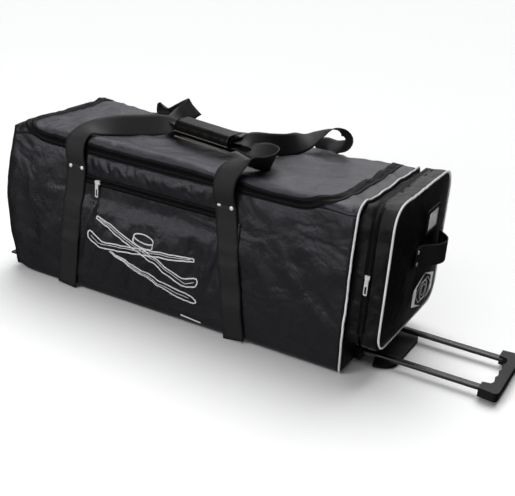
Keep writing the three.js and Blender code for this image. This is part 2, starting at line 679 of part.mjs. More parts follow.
for (const [name, side] of [
  ["front", -1],
  ["back", 1],
]) {
  const y = side * WHEEL_Y;
  const half = WHEEL_WIDTH / 2;
  const place = (geometry) => geometry.translate(AXLE_X, y, WHEEL_RADIUS);
  const tyre = [
    [HUB_RADIUS, -half],
    [WHEEL_RADIUS - 3, -half],
    [WHEEL_RADIUS, -half + 4],
    [WHEEL_RADIUS, half - 4],
    [WHEEL_RADIUS - 3, half],
    [HUB_RADIUS, half],
    [HUB_RADIUS, -half],
  ];
  add(`wheel_tyre_${name}`, place(turned(tyre)), RUBBER);
  const [rim, bore] = [HUB_RADIUS - CLEARANCE, AXLE_RADIUS + CLEARANCE];
  const hub = [
    [bore, -half + 1],
    [9, -half + 1],
    [10, -half + 5],
    [rim - 3, -half + 5],
    [rim, -half + 1],
    [rim, half - 1],
    [rim - 3, half - 5],
    [10, half - 5],
    [9, half - 1],
    [bore, half - 1],
    [bore, -half + 1],
  ];
  add(`wheel_hub_${name}`, place(turned(hub)), BLACK_PLASTIC);
  const axle = [
    [0, -HOUSING_WIDTH / 2],
    [AXLE_RADIUS, -HOUSING_WIDTH / 2],
    [AXLE_RADIUS, HOUSING_WIDTH / 2],
    [0, HOUSING_WIDTH / 2],
  ];
  add(`wheel_axle_${name}`, place(turned(axle, 16)), STEEL);

  const room = half + WHEEL_ROOM;
  const arch = [
    [0, -room],
    [WHEEL_RADIUS + WHEEL_ARCH, -room],
    [WHEEL_RADIUS + WHEEL_ARCH, room],
    [0, room],
  ];
  const bore2 = [
    [0, -HOUSING_WIDTH],
    [AXLE_RADIUS + CLEARANCE, -HOUSING_WIDTH],
    [AXLE_RADIUS + CLEARANCE, HOUSING_WIDTH],
    [0, HOUSING_WIDTH],
  ];
  const shell = block(housingSpan, [y - HOUSING_WIDTH / 2, y + HOUSING_WIDTH / 2], [2, HOUSING_HEIGHT]);
  const housing = cut(shell, place(turned(arch)), place(turned(bore2, 16)));
  add(`wheel_housing_${name}`, housing, BLACK_PLASTIC);
}

// ---- Zipper sliders and pulls --------------------------------------------------------------

// A slider seen on the front of the bag: a block narrowed at one end, long along X or Z.
function slider(x, z, skinY, upright) {
  const [long, wide] = [SLIDER_LENGTH / 2, SLIDER_WIDTH / 2];
  const outline = new THREE.Shape();
  outline.moveTo(-long, -wide * 0.6);
  outline.lineTo(0, -wide);
  outline.lineTo(long, -wide);
  outline.lineTo(long, wide);
  outline.lineTo(0, wide);
  outline.lineTo(-long, wide * 0.6);
  const body = pulled("y", outline, skinY - SLIDER_THICKNESS, skinY);
  if (upright) body.rotateY(-Math.PI / 2);
  return body.translate(x, 0, z);
}

// A pull hanging in front of a slider, whose lowest point is (x, sliderFoot): a flat tab with a slot in it.
function pull(x, sliderFoot, skinY) {
  const half = PULL_WIDTH / 2;
  const z = sliderFoot + PULL_OVERLAP;
  const y = skinY - SLIDER_THICKNESS - CLEARANCE;
  const outline = roundedRectangle([x - half, z - PULL_LENGTH], [x + half, z], 2.5);
  outline.holes.push(roundedRectangle([x - half + 2, z - PULL_LENGTH + 3], [x + half - 2, z - 13], 1.5));
  return pulled("y", outline, y - PULL_THICKNESS, y, 3);
}

const frontSkin = skin[0] - CLEARANCE;
const frontSliderX = LEFT_STRAP + WEBBING / 2 + 32;
const frontSliderZ = frontZipperFoot + FRONT_ZIPPER / 2;
add("front_pocket_slider", slider(frontSliderX, frontSliderZ, frontSkin, false), NICKEL);
add("front_pocket_pull", pull(frontSliderX, frontSliderZ - SLIDER_WIDTH / 2, frontSkin), NICKEL);

const pocketSkin = -POCKET_WIDTH / 2 - CLEARANCE;
const pocketSliderX = ZIPPER_X + POCKET_TAPE / 2;
const pocketSliderZ = POCKET_TOP - 147;
add("end_pocket_slider", slider(pocketSliderX, pocketSliderZ, pocketSkin, true), NICKEL);
add("end_pocket_pull", pull(pocketSliderX, pocketSliderZ - SLIDER_LENGTH / 2, pocketSkin), NICKEL);

// The lid's two sliders meet under the right strap.
const lidSkin = -SIDE - CLEARANCE;
for (const [name, side] of [
  ["left", -1],
  ["right", 1],
]) {
  const x = RIGHT_STRAP + side * (SLIDER_LENGTH / 2 + 1);
  const body = slider(0, 0, lidSkin, false);
  if (side < 0) body.rotateZ(Math.PI).translate(0, 2 * lidSkin - SLIDER_THICKNESS, 0);
  add(`lid_slider_${name}`, body.translate(x, 0, ZIPPER_LEVEL), NICKEL);
  add(`lid_pull_${name}`, pull(x, ZIPPER_LEVEL - SLIDER_WIDTH / 2, lidSkin), NICKEL);
}

// ---- Carry handles and their padded wrap ---------------------------------------------------

const wrapTurn = THREE.MathUtils.degToRad(WRAP_TURN);
const wrapAlong = new THREE.Vector3(Math.cos(wrapTurn), Math.sin(wrapTurn), 0);
const wrapAcross = [Math.sin(wrapTurn), -Math.cos(wrapTurn), 0];
const inWrap = (along, layer) => ({
  at: [
    WRAP_MIDDLE[0] + wrapAlong.x * along,
    WRAP_MIDDLE[1] + wrapAlong.y * along,
    WRAP_MIDDLE[2] + layer * HANDLE_LAYER,
  ],
  across: wrapAcross,
  width: HANDLE_IN_WRAP,
});
const wrapEnd = WRAP_LENGTH / 2 + 6;
const station = (at, across, width = WEBBING) => ({ at, across, width });
// Y on the way from the wrap's middle to the front (-1) or to the back (1) edge, at this share of it.
const towards = (side, share) => WRAP_MIDDLE_Y + share * (side * SIDE - WRAP_MIDDLE_Y);

const frontHandle = ribbon(
  [
    station([LEFT_STRAP, -STRAP_MIDDLE - 1, STRAP_TOP + 2], [1, 0, 0]),
    station([LEFT_STRAP - 2, -STRAP_MIDDLE - 7, ZIPPER_LEVEL - 4], [1, 0, 0]),
    station([LEFT_STRAP, -SIDE, BODY_HEIGHT + 10], [1, 0, 0]),
    station([LEFT_STRAP + 18, towards(-1, 0.73), BODY_HEIGHT + 20], [0.9, -0.4, -0.3]),
    station([LEFT_STRAP + 52, towards(-1, 0.39), BODY_HEIGHT + 26], [0.4, -0.5, -0.7]),
    station([LEFT_STRAP + 102, WRAP_MIDDLE_Y - 7, BODY_HEIGHT + 25], [0.1, -0.7, -0.6]),
    inWrap(-wrapEnd, -1),
    inWrap(-wrapEnd * 0.8, -1),
    inWrap(wrapEnd * 0.8, -1),
    inWrap(wrapEnd, -1),
    station([RIGHT_STRAP - 6, WRAP_MIDDLE_Y - 17, BODY_HEIGHT + 21], [-0.3, -0.9, -0.1], 48),
    station([RIGHT_STRAP + 26, towards(-1, 0.262), BODY_HEIGHT + 29], [-0.8, -0.5, 0.1]),
    station([RIGHT_STRAP + 26, towards(-1, 0.574), BODY_HEIGHT + 32], [-1, 0, 0]),
    station([RIGHT_STRAP + 14, towards(-1, 0.872), BODY_HEIGHT + 24], [-1, 0, 0]),
    station([RIGHT_STRAP + 4, -SIDE - 14, BODY_HEIGHT], [-1, 0, 0]),
    station([RIGHT_STRAP, -STRAP_MIDDLE - 12, ZIPPER_LEVEL - 20], [-1, 0, 0]),
    station([RIGHT_STRAP, -STRAP_MIDDLE - 1, STRAP_TOP + 2], [-1, 0, 0]),
  ],
  WEBBING_THICKNESS,
);
add("front_handle", frontHandle, WEB);

const backFoot = HINGE_LEVEL + 5;
const backHandle = ribbon(
  [
    station([LEFT_STRAP, STRAP_MIDDLE, backFoot], [1, 0, 0]),
    station([LEFT_STRAP + 1, STRAP_MIDDLE - 1, backFoot + 24], [1, 0.1, 0]),
    station([LEFT_STRAP + 24, SIDE - 12, BODY_HEIGHT + 28], [0.9, 0.3, -0.3]),
    station([LEFT_STRAP + 60, towards(1, 0.729), BODY_HEIGHT + 38], [0.6, 0.4, -0.6]),
    station([LEFT_STRAP + 104, towards(1, 0.387), BODY_HEIGHT + 35], [0.2, 0.6, -0.4]),
    station([LEFT_STRAP + 134, WRAP_MIDDLE_Y + 38, BODY_HEIGHT + 33], [-0.2, 0.9, 0], 46),
    inWrap(-wrapEnd, 1),
    inWrap(-wrapEnd * 0.8, 1),
    inWrap(wrapEnd * 0.8, 1),
    inWrap(wrapEnd, 1),
    station([RIGHT_STRAP - 6, WRAP_MIDDLE_Y + 13, BODY_HEIGHT + 32], [-0.3, 0.9, -0.1], 46),
    station([RIGHT_STRAP + 24, towards(1, 0.367), BODY_HEIGHT + 32], [-0.8, 0.5, -0.2], 48),
    station([BACK_RIGHT_STRAP + 8, towards(1, 0.688), BODY_HEIGHT + 35], [-0.9, 0.3, -0.3]),
    station([BACK_RIGHT_STRAP + 32, SIDE - 18, BODY_HEIGHT + 36], [-0.9, 0.2, -0.2]),
    station([BACK_RIGHT_STRAP + 46, STRAP_MIDDLE - 2, BODY_HEIGHT + 18], [-1, 0, 0]),
    station([BACK_RIGHT_STRAP + 31, STRAP_MIDDLE, backFoot + 9], [-1, 0, 0]),
    station([BACK_RIGHT_STRAP + 30, STRAP_MIDDLE, backFoot], [-1, 0, 0]),
  ].map((place) => (place.across[1] === wrapAcross[1] ? { ...place, across: wrapAcross.map((v) => -v) } : place)),
  WEBBING_THICKNESS,
);
add("back_handle", backHandle, WEB);

// The wrap's own frame: X along it, Y across, Z up, its middle at the origin.
const inWrapFrame = (geometry) => geometry.rotateZ(wrapTurn).translate(...WRAP_MIDDLE);
const wrapOutline = (grow) =>
  roundedRectangle(
    [-WRAP_WIDTH / 2 - grow, -WRAP_THICKNESS / 2 - grow],
    [WRAP_WIDTH / 2 + grow, WRAP_THICKNESS / 2 + grow],
    15 + grow,
  );
const wrapSection = wrapOutline(0);
const [holeWidth, holeHeight] = WRAP_HOLE;
wrapSection.holes.push(
  roundedRectangle([-holeWidth / 2, -holeHeight / 2], [holeWidth / 2, holeHeight / 2], 4),
);
const wrapHalf = WRAP_LENGTH / 2;
add("handle_wrap", inWrapFrame(pulled("x", wrapSection, -wrapHalf, wrapHalf)), NYLON);
const flapSection = wrapOutline(2.4);
flapSection.holes.push(wrapOutline(CLEARANCE));
const flapRing = pulled("x", flapSection, -wrapHalf + 2, wrapHalf - 2);
const flapCutBelow = block([-wrapHalf, wrapHalf], [-WRAP_WIDTH, WRAP_WIDTH], [-WRAP_THICKNESS, 3]);
const flapCutBack = block([-wrapHalf, wrapHalf], [17, WRAP_WIDTH], [-WRAP_THICKNESS, WRAP_THICKNESS]);
add("wrap_flap", inWrapFrame(cut(flapRing, flapCutBelow, flapCutBack)), NYLON);

export default object;
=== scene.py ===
# %% [markdown]
# # A wheeled equipment bag
# The bag is a long box of coated nylon. It has webbing carry handles held in a padded wrap, a flat zipped
# pocket on the front, a zipped pocket on the right end and a trolley handle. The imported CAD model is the
# frame: it says where every part is, and each soft part is modelled again here as cloth.

# %% Load the frame
import math

import bmesh
import bpy
from mathutils import Matrix, Vector, noise


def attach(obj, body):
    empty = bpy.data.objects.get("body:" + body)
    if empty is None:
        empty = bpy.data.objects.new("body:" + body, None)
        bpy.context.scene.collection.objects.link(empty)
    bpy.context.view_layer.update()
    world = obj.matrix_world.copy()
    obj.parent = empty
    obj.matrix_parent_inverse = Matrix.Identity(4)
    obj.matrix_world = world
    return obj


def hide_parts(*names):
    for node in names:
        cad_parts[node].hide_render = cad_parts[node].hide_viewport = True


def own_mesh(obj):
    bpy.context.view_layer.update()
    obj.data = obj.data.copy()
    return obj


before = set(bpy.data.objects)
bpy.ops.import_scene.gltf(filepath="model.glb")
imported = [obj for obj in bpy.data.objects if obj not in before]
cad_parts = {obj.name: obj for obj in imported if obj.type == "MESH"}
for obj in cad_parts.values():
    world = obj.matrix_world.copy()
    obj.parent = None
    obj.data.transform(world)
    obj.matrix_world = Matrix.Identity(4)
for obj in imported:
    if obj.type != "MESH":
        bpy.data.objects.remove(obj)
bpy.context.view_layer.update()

# %% [markdown]
# ## The camera comes first
# The camera stands in front of the bag and a little to its right, looks down on it, and is rolled a few
# degrees. Everything that follows is judged through it.

# %% Camera
CAMERA_AT = Vector((1.0276, -1.7612, 0.9825))
CAMERA_TURN, CAMERA_DOWN, CAMERA_ROLL = (math.radians(a) for a in (26.6257, 22.9964, 4.9227))
LENS_MM, SENSOR_MM = 66.29, 36

camera = bpy.data.objects.new("camera", bpy.data.cameras.new("camera"))
bpy.context.scene.collection.objects.link(camera)
back = Vector((
    math.sin(CAMERA_TURN) * math.cos(CAMERA_DOWN),
    -math.cos(CAMERA_TURN) * math.cos(CAMERA_DOWN),
    math.sin(CAMERA_DOWN),
))
level = (-back).cross(Vector((0, 0, 1))).normalized()
upright = level.cross(-back)
right = level * math.cos(CAMERA_ROLL) + upright * math.sin(CAMERA_ROLL)
up = -level * math.sin(CAMERA_ROLL) + upright * math.cos(CAMERA_ROLL)
turned = Matrix((right, up, back)).transposed().to_4x4()
camera.matrix_world = Matrix.Translation(CAMERA_AT) @ turned
camera.data.lens, camera.data.sensor_width = LENS_MM, SENSOR_MM
bpy.context.scene.camera = camera
print("camera", [round(v, 3) for v in camera.location])

# %% [markdown]
# ## Soft studio light
# Black nylon shows its shape by what it reflects. A wide soft sun from above and behind greys the lid and
# whitens the floor, and leaves the walls in front dark. Two lamps in front draw the folds: a weak one from
# above and a stronger one low on the left. The sky is dim, apart from one bright patch to the left, which
# gives the walls their long highlights. The plain Standard view keeps blacks deep and the floor white.

# %% Lamps and sky
def linked(name, data):
    made = bpy.data.objects.new(name, data)
    bpy.context.scene.collection.objects.link(made)
    return made


def lamp(name, at, towards, size, watts):
    light = bpy.data.lights.new(name, "AREA")
    light.shape, light.size, light.size_y = "RECTANGLE", size[0], size[1]
    light.energy = watts
    made = linked(name, light)
    made.location = at
    made.rotation_euler = (Vector(towards) - Vector(at)).to_track_quat("-Z", "Y").to_euler()


SUN_FROM = Vector((-0.25, 0.75, 1.5))
sun_light = bpy.data.lights.new("sun", "SUN")
sun_light.energy, sun_light.angle = 2.7, math.radians(55)
linked("sun", sun_light).rotation_euler = (-SUN_FROM).to_track_quat("-Z", "Y").to_euler()
lamp("lamp_front", (0.5, -2.1, 2.3), (0.15, 0, 0.2), (1.1, 0.5), 10)
lamp("lamp_low", (-0.95, -2.4, 0.95), (0.05, 0, 0.2), (0.9, 0.4), 26)

bpy.context.scene.view_settings.view_transform = "Standard"

# %% [markdown]
# ## Sums on sockets
# A pattern is easiest to read as a sum, such as `ribs * 0.4 + grain`. This small class wraps a socket so that
# Python's operators add the Math nodes, and its one method `node` makes every other kind of node.

# %% A socket that can be used in sums
class Wire:
    def __init__(self, tree, socket=None):
        self.tree, self.socket = tree, socket

    def node(self, kind, settings=None, sockets=None, out=0):
        made = self.tree.nodes.new(kind)
        for key, value in (settings or {}).items():
            if key == "stops":
                ramp = made.color_ramp.elements
                while len(ramp) < len(value):
                    ramp.new(1)
                for stop, (position, grey) in zip(ramp, value):
                    stop.position, stop.color = position, (grey, grey, grey, 1)
            else:
                setattr(made, key, value)
        for key, value in (sockets or {}).items():
            if isinstance(value, Wire):
                self.tree.links.new(value.socket, made.inputs[key])
            else:
                made.inputs[key].default_value = value
        return Wire(self.tree, made.outputs[out])

    def math(self, operation, first, second=0.0):
        return self.node("ShaderNodeMath", {"operation": operation}, {0: first, 1: second})

    def __add__(self, other):
        return self.math("ADD", self, other)

    def __sub__(self, other):
        return self.math("SUBTRACT", self, other)

    def __rsub__(self, other):
        return self.math("SUBTRACT", other, self)

    def __mul__(self, other):
        return self.math("MULTIPLY", self, other)

    __radd__ = __add__
    __rmul__ = __mul__


def coordinate(start, space, axis):
    """One coordinate of the place on the piece, in its object's space or on its UV map."""
    place = start.node("ShaderNodeTexCoord", out=space)
    return start.node("ShaderNodeSeparateXYZ", {}, {0: place}, out=axis)


def ramp(value, stops):
    return value.node("ShaderNodeValToRGB", {"stops": stops}, {0: value * 0.5 + 0.5})


# %% Sky
sky = bpy.data.worlds.new("sky")
bpy.context.scene.world = sky
sky.use_nodes = True
backdrop = sky.node_tree.nodes["Background"]
backdrop.inputs["Color"].default_value = (0.97, 0.98, 1, 1)
direction = Wire(sky.node_tree)
across_sky = ramp(
    coordinate(direction, "Generated", 0),
    [(0.17, 0.05), (0.205, 0.16), (0.24, 0.48), (0.32, 0.92), (0.42, 0.6), (0.60, 0.06), (0.90, 0.03)],
)
up_sky = ramp(coordinate(direction, "Generated", 2), [(0.38, 0.42), (0.54, 1.0)])
sky.node_tree.links.new((across_sky * up_sky).socket, backdrop.inputs["Strength"])

# %% [markdown]
# ## Finishes
# Each finish is one Principled shader. A `pattern` function gets the place on the piece and hands back what
# changes over it: a shade that lightens or darkens the colour, a roughness, and a height for the bump.

# %% One maker for all finishes
finishes = {}


def finish(name, colour, roughness, pattern, bump_mm=0.3, **flat):
    made = bpy.data.materials.new(name)
    made.use_nodes = True
    tree = made.node_tree
    shader = tree.nodes["Principled BSDF"]
    for socket, value in flat.items():
        shader.inputs[socket.replace("_", " ")].default_value = value
    start = Wire(tree)
    look = pattern(start)
    lit = start.node(
        "ShaderNodeMix",
        {"data_type": "RGBA"},
        {0: look["shade"], 6: (*(c * 0.55 for c in colour), 1), 7: (*(min(1, c * 1.45) for c in colour), 1)},
        out=2,
    )
    tree.links.new(lit.socket, shader.inputs["Base Color"])
    tree.links.new((look["rough"] * 0.3 + (roughness - 0.15)).socket, shader.inputs["Roughness"])
    raised = {"Strength": 0.8, "Distance": bump_mm / 1000, "Height": look["height"]}
    tree.links.new(start.node("ShaderNodeBump", {}, raised).socket, shader.inputs["Normal"])
    finishes[name] = made


def spots(start, size_mm, detail=2.0, distortion=0.0):
    place = start.node("ShaderNodeTexCoord", out="Object")
    return start.node(
        "ShaderNodeTexNoise",
        {},
        {"Vector": place, "Scale": 1000 / size_mm, "Detail": detail, "Distortion": distortion},
    )


def waves(start, coordinate, period_mm):
    return start.math("SINE", coordinate * (2000 * math.pi / period_mm)) * 0.5 + 0.5


# %% [markdown]
# Coated nylon is a fine plain weave with a thin shiny skin. Threads run both ways, so the height is the sum of
# one wave along each axis; on any wall two of the three change, which gives the little checks of the weave.
# Larger soft noise gives the creases that are too small to model. It also paints shade into the colour, lighter
# on the raised folds and darker in their hollows.

# %% Woven and moulded patterns
THREAD_MM, RIB_MM, TWILL_MM, TOOTH_MM, SATIN_MM = 1.3, 2.1, 3.6, 1.6, 0.8  # what repeats in each pattern


def woven(start):
    x, y, z = (waves(start, coordinate(start, "Object", axis), THREAD_MM) for axis in range(3))
    threads = x + y + z
    creases = spots(start, 34, 2.5, 0.6)
    folds = spots(start, 105, 2.5, 0.9)
    # The colour follows the folds and creases, lighter on their raised parts and darker in their hollows, as
    # painted shade. The threads add the weave's own pattern.
    return {
        "shade": folds * 0.6 + threads * 0.1 + creases * 0.2 - 0.1,
        "rough": creases * 0.7 + folds * 0.4,
        "height": threads * 0.05 + creases * 0.9 + folds * 3.4,
    }


def ribbed(start):
    """Webbing: fine ribs across the band and a coarser twill along it, on the band's own UV in metres."""
    along, across = coordinate(start, "UV", 0), coordinate(start, "UV", 1)
    ribs = waves(start, along, RIB_MM)
    twill = waves(start, along * 0.6 + across, TWILL_MM)
    wear = spots(start, 25, 3)
    return {
        "shade": ribs * 0.35 + twill * 0.25 + wear * 0.4,
        "rough": wear,
        "height": ribs * 0.7 + twill * 0.6,
    }


def toothed(start):
    """A zipper's coil: one small tooth after another along the band."""
    teeth = waves(start, coordinate(start, "UV", 0), TOOTH_MM)
    return {"shade": teeth, "rough": teeth * 0.5, "height": teeth * 2}


def grained(start):
    grain = spots(start, 1.6, 3)
    wear = spots(start, 40, 3)
    return {"shade": grain * 0.3 + wear * 0.7, "rough": wear + grain * 0.4, "height": grain}


def brushed(start):
    place = start.node("ShaderNodeTexCoord", out="Object")
    drawn = start.node("ShaderNodeMapping", {}, {"Vector": place, "Scale": (6, 900, 900)})
    lines = start.node("ShaderNodeTexNoise", {}, {"Vector": drawn, "Scale": 1.0, "Detail": 3})
    wear = spots(start, 30, 4)
    return {"shade": lines * 0.5 + wear * 0.5, "rough": lines * 0.7 + wear * 0.5, "height": lines * 0.4}


def stitched(start):
    """Satin stitch: close threads laid side by side across the stroke."""
    threads = waves(start, coordinate(start, "UV", 0), SATIN_MM)
    return {"shade": threads * 0.4 + spots(start, 9, 2) * 0.5, "rough": threads, "height": threads}


def printed(start):
    """A pale card with a faint print of small cells, under its clear window."""
    place = start.node("ShaderNodeTexCoord", out="Object")
    checks = start.node("ShaderNodeTexVoronoi", {}, {"Vector": place, "Scale": 190.0})
    cloudy = spots(start, 18, 3)
    return {"shade": checks * 0.5 + cloudy * 0.5, "rough": cloudy, "height": checks}


# %% The bag's finishes
LILAC = (0.93, 0.89, 1.0, 1)  # the tint that the coating gives its highlights
COATED = {"Specular_IOR_Level": 0.5, "Specular_Tint": LILAC}
finish("wall_nylon", (0.0075, 0.0073, 0.0082), 0.31, woven, 2.6, **COATED)
# The lid's nylon is the walls' nylon with its colour painted lighter: painted light on the top, which faces the
# sun.
finish("lid_nylon_painted_light", (0.020, 0.0188, 0.0225), 0.35, woven, 3.4, **COATED)
# The end pocket's nylon is the same nylon with its colour painted darker: painted shade on the end, which faces
# away from the light.
finish("pocket_nylon_painted_shade", (0.003, 0.003, 0.0033), 0.34, woven, 3.2, Specular_IOR_Level=0.26)
finish("lining", (0.02, 0.02, 0.022), 0.6, woven, 0.6)
finish("strap_webbing", (0.0095, 0.0095, 0.0098), 0.6, ribbed, 0.35, Specular_IOR_Level=0.3)
finish("zipper_tape_cloth", (0.002, 0.002, 0.0022), 0.55, ribbed, 0.2, Specular_IOR_Level=0.1)
finish("zipper_coil", (0.004, 0.004, 0.0045), 0.4, toothed, 0.5, Specular_IOR_Level=0.2)
finish("wrap_vinyl", (0.002, 0.002, 0.0023), 0.27, grained, 0.25, Specular_IOR_Level=0.2)
finish("piping_white", (0.62, 0.62, 0.62), 0.38, grained, 0.1)
finish("binding_grey", (0.16, 0.145, 0.12), 0.55, stitched, 0.2)
finish("thread_black", (0.02, 0.02, 0.021), 0.55, grained, 0.1)
finish("thread_white", (0.66, 0.66, 0.68), 0.45, stitched, 0.25)
finish("polished_nickel", (0.74, 0.72, 0.69), 0.34, brushed, 0.05, Metallic=0.55)
finish("moulded_black", (0.007, 0.007, 0.0075), 0.4, grained, 0.15, Specular_IOR_Level=0.2)
finish("board_black", (0.018, 0.018, 0.018), 0.6, grained, 0.2)
finish("anodised_black", (0.006, 0.006, 0.0065), 0.26, brushed, 0.06, Specular_IOR_Level=0.75)
finish("plain_steel", (0.5, 0.5, 0.5), 0.3, brushed, 0.05, Metallic=1.0)
finish("tyre_rubber", (0.013, 0.013, 0.013), 0.7, grained, 0.3)
finish("clear_window", (0.75, 0.77, 0.8), 0.16, grained, 0.05, Alpha=0.22)
finish("card_pale", (0.62, 0.62, 0.64), 0.55, printed, 0.1)
finish("patch_white", (0.66, 0.66, 0.66), 0.5, grained, 0.1)
print("finishes", len(finishes))

# %% [markdown]
# ## How loaded cloth settles
# An empty-ish bag never stays a box. The lid sinks towards the back, the walls puff out between the straps,
# and folds run down from where the straps pull. One function moves any point of the rest shape to where the
# cloth has settled, so whatever is sewn on moves with the cloth under it. Along the tracks of the sliders the
# cloth stays put, because the sliders run straight.

# %% Folds and settling
END_X, SIDE_Y, TOP_Z = 0.438, 0.170, 0.368
ZIP_Z, ZIP_X = 0.345, 0.392
STRAPS = (-0.228, 0.152)


def climb(value, low, high):
    t = min(1, max(0, (value - low) / (high - low)))
    return t * t * (3 - 2 * t)


def near(value, middle, reach):
    return 1 - climb(abs(value - middle), 0, reach)


def fold(point, long_mm, short_mm, lean, seed):
    """Ridged noise about -1..1: folds long one way, short the other, leaning by this angle in X and Z."""
    x, y, z = point
    a = (x * math.cos(lean) + z * math.sin(lean)) * 1000 / short_mm
    b = (-x * math.sin(lean) + z * math.cos(lean)) * 1000 / long_mm
    ridge = 1 - 2.4 * abs(noise.noise(Vector((a + seed, b - seed, y * 1000 / short_mm + seed))))
    return max(-1, min(1, ridge))


def still(x, y, z):
    """0 along the tracks of the sliders, 1 well away from them."""
    lid_track = near(z, ZIP_Z, 0.03) * (1 - climb(abs(x), 0.30, 0.38))
    pocket_track = (1 - climb(abs(z - 0.262), 0.02, 0.055)) * (1 - climb(abs(x + 0.04), 0.17, 0.25))
    return 1 - max(lid_track, pocket_track) * climb(-y, 0.10, 0.165)


def settle(point):
    x, y, z = point
    on_top = climb(z, 0.335, 0.362)
    to_back = climb(y, -SIDE_Y, SIDE_Y)
    to_end = climb(abs(x), 0.24, 0.42)
    wall = climb(abs(y), 0.12, 0.166) * (1 - on_top)
    between = min(1, min(abs(x - s) for s in STRAPS) / 0.09)
    calm = still(x, y, z)
    middle_height = climb(z, 0.0, 0.12) * (1 - climb(z, 0.22, 0.345) * 0.7)

    # The lid sinks towards the back, and in soft hollows across it.
    drop = 0.003 + 0.013 * to_back * (1 - 0.35 * to_end)
    flat = (x, y * 0.6, y)
    hollow = 0.0050 * fold(flat, 230, 90, 0.9, 3.1) + 0.0021 * fold(flat, 130, 30, -0.5, 9.7)
    dz = on_top * (-drop + hollow * (1 - near(x, 0.0, 0.16) * 0.3))
    # Round the front corners of the lid the zipper climbs to the top.
    dz += 0.003 * climb(abs(x), 0.27, 0.36) * near(z, ZIP_Z, 0.022) * climb(-y, 0.12, 0.168)
    # The walls puff out between the straps, with leaning folds.
    puff = 0.005 * middle_height * between
    lean = 0.5 if x > STRAPS[1] else -0.35
    long_folds = 0.0042 * fold(point, 190, 52, lean, 5.5) + 0.0017 * fold(point, 80, 19, lean * 1.3, 1.2)
    puff += long_folds * middle_height
    puff += 0.0016 * fold(point, 60, 22, 0.1, 7.7) * climb(z, 0.2, 0.33)
    dy = math.copysign(1, y) * wall * puff * calm
    # The ends belly out a little.
    end = climb(abs(x), 0.40, 0.434)
    ripple = fold((y, x, z), 120, 40, 0.3, 4.2)
    if x < 0:
        dx = -climb(-x, 0.36, 0.43) * (0.019 * (1 - (y / 0.30) ** 2) * near(z, 0.20, 0.26) + 0.002 * ripple)
    else:
        dx = end * (0.0008 * near(y, 0, 0.17) * near(z, 0.17, 0.18) + 0.0004 * ripple)
    # The left end has no stiff frame, so its shoulder sinks, its heel lifts, and both are rounder.
    left = climb(-x, 0.345, 0.44)
    dz -= 0.016 * left * climb(z, 0.28, 0.36) * (1 - 0.9 * to_back)
    dz += 0.024 * left**2 * (1 - climb(z, 0.0, 0.10))
    dx += climb(-x, 0.40, 0.436) * (0.020 * climb(z, 0.20, TOP_Z) + 0.010 * (1 - climb(z, 0.0, 0.19)))
    return Vector((x + dx, y + dy, z + dz))


print("back edge settles to", round(settle((0, SIDE_Y - 0.018, TOP_Z)).z, 4))

# %% [markdown]
# ## Turning a bmesh into a piece
# Every piece ends the same way: its bmesh becomes a mesh, it gets its finish, it rides on a CAD body, and the
# CAD nodes that it stands for are hidden.

# %% Finish a piece
pieces = {}


def piece(name, bm, look, body, stands_for=(), slot=None, thickness_mm=0, offset=0.0, smooth=True, rounds=0):
    mesh = bpy.data.meshes.new(name)
    bm.to_mesh(mesh)
    bm.free()
    made = linked(name, mesh)
    mesh.materials.append(finishes[look])
    if smooth:
        mesh.shade_smooth()
    if thickness_mm:
        wall = made.modifiers.new("thickness", "SOLIDIFY")
        wall.thickness, wall.offset = thickness_mm / 1000, offset
    if rounds:
        soft = made.modifiers.new("rounds", "SUBSURF")
        soft.levels = soft.render_levels = rounds
    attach(made, body)
    if stands_for:
        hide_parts(*stands_for)
    pieces[name] = made
    return made


def box_mesh(low, high):
    bm = bmesh.new()
    low, high = Vector(low), Vector(high)
    bmesh.ops.create_cube(bm, size=1)
    bmesh.ops.scale(bm, vec=high - low, verts=bm.verts)
    bmesh.ops.translate(bm, vec=(low + high) / 2, verts=bm.verts)
    return bm


def round_edges(bm, radius, segments, wanted):
    bmesh.ops.bevel(
        bm,
        geom=[e for e in bm.edges if wanted(*(v.co for v in e.verts))],
        offset=radius,
        segments=segments,
        profile=0.5,
        affect="EDGES",
        material=-1,
        clamp_overlap=True,
    )


def slice_every(bm, axis, places):
    normal = Vector([float(i == axis) for i in range(3)])
    for place in places:
        everything = bm.verts[:] + bm.edges[:] + bm.faces[:]
        bmesh.ops.bisect_plane(bm, geom=everything, plane_co=normal * place, plane_no=normal)


def steps(low, high, step):
    count = max(1, round((high - low) / step))
    return [low + (high - low) * i / count for i in range(1, count)]


# %% [markdown]
# ## The main compartment
# The bag's box starts as one cube. Its edges are bevelled, planes cut it into small squares, and the faces are
# then sorted into the panels that are sewn together on the real bag. Each panel is settled and made as thick
# as cloth, so the bag is hollow when its lid opens.

# %% Cut the box into panels
LEFT_ROUND, LONG_ROUND = 0.040, 0.017
shell = box_mesh((-END_X, -SIDE_Y, 0), (END_X, SIDE_Y, TOP_Z))
round_edges(shell, LEFT_ROUND, 6, lambda a, b: a.x < -0.43 and b.x < -0.43)
round_edges(shell, LONG_ROUND, 4, lambda a, b: abs(a.x - b.x) > 0.5)
GRID = 0.0105
slice_every(shell, 0, steps(-END_X + LEFT_ROUND, END_X, GRID) + [-ZIP_X, ZIP_X, -0.378])
slice_every(shell, 1, steps(-SIDE_Y + LONG_ROUND, SIDE_Y - LONG_ROUND, GRID) + [-0.125, -0.085, 0.085, 0.125])
slice_every(shell, 2, steps(LONG_ROUND, TOP_Z - LONG_ROUND, GRID) + [ZIP_Z, 0.072])
bmesh.ops.remove_doubles(shell, verts=shell.verts, dist=0.0004)
print("shell faces", len(shell.faces))


CORNER = 0.080  # radius of the lid's front corners, on the cloth laid flat


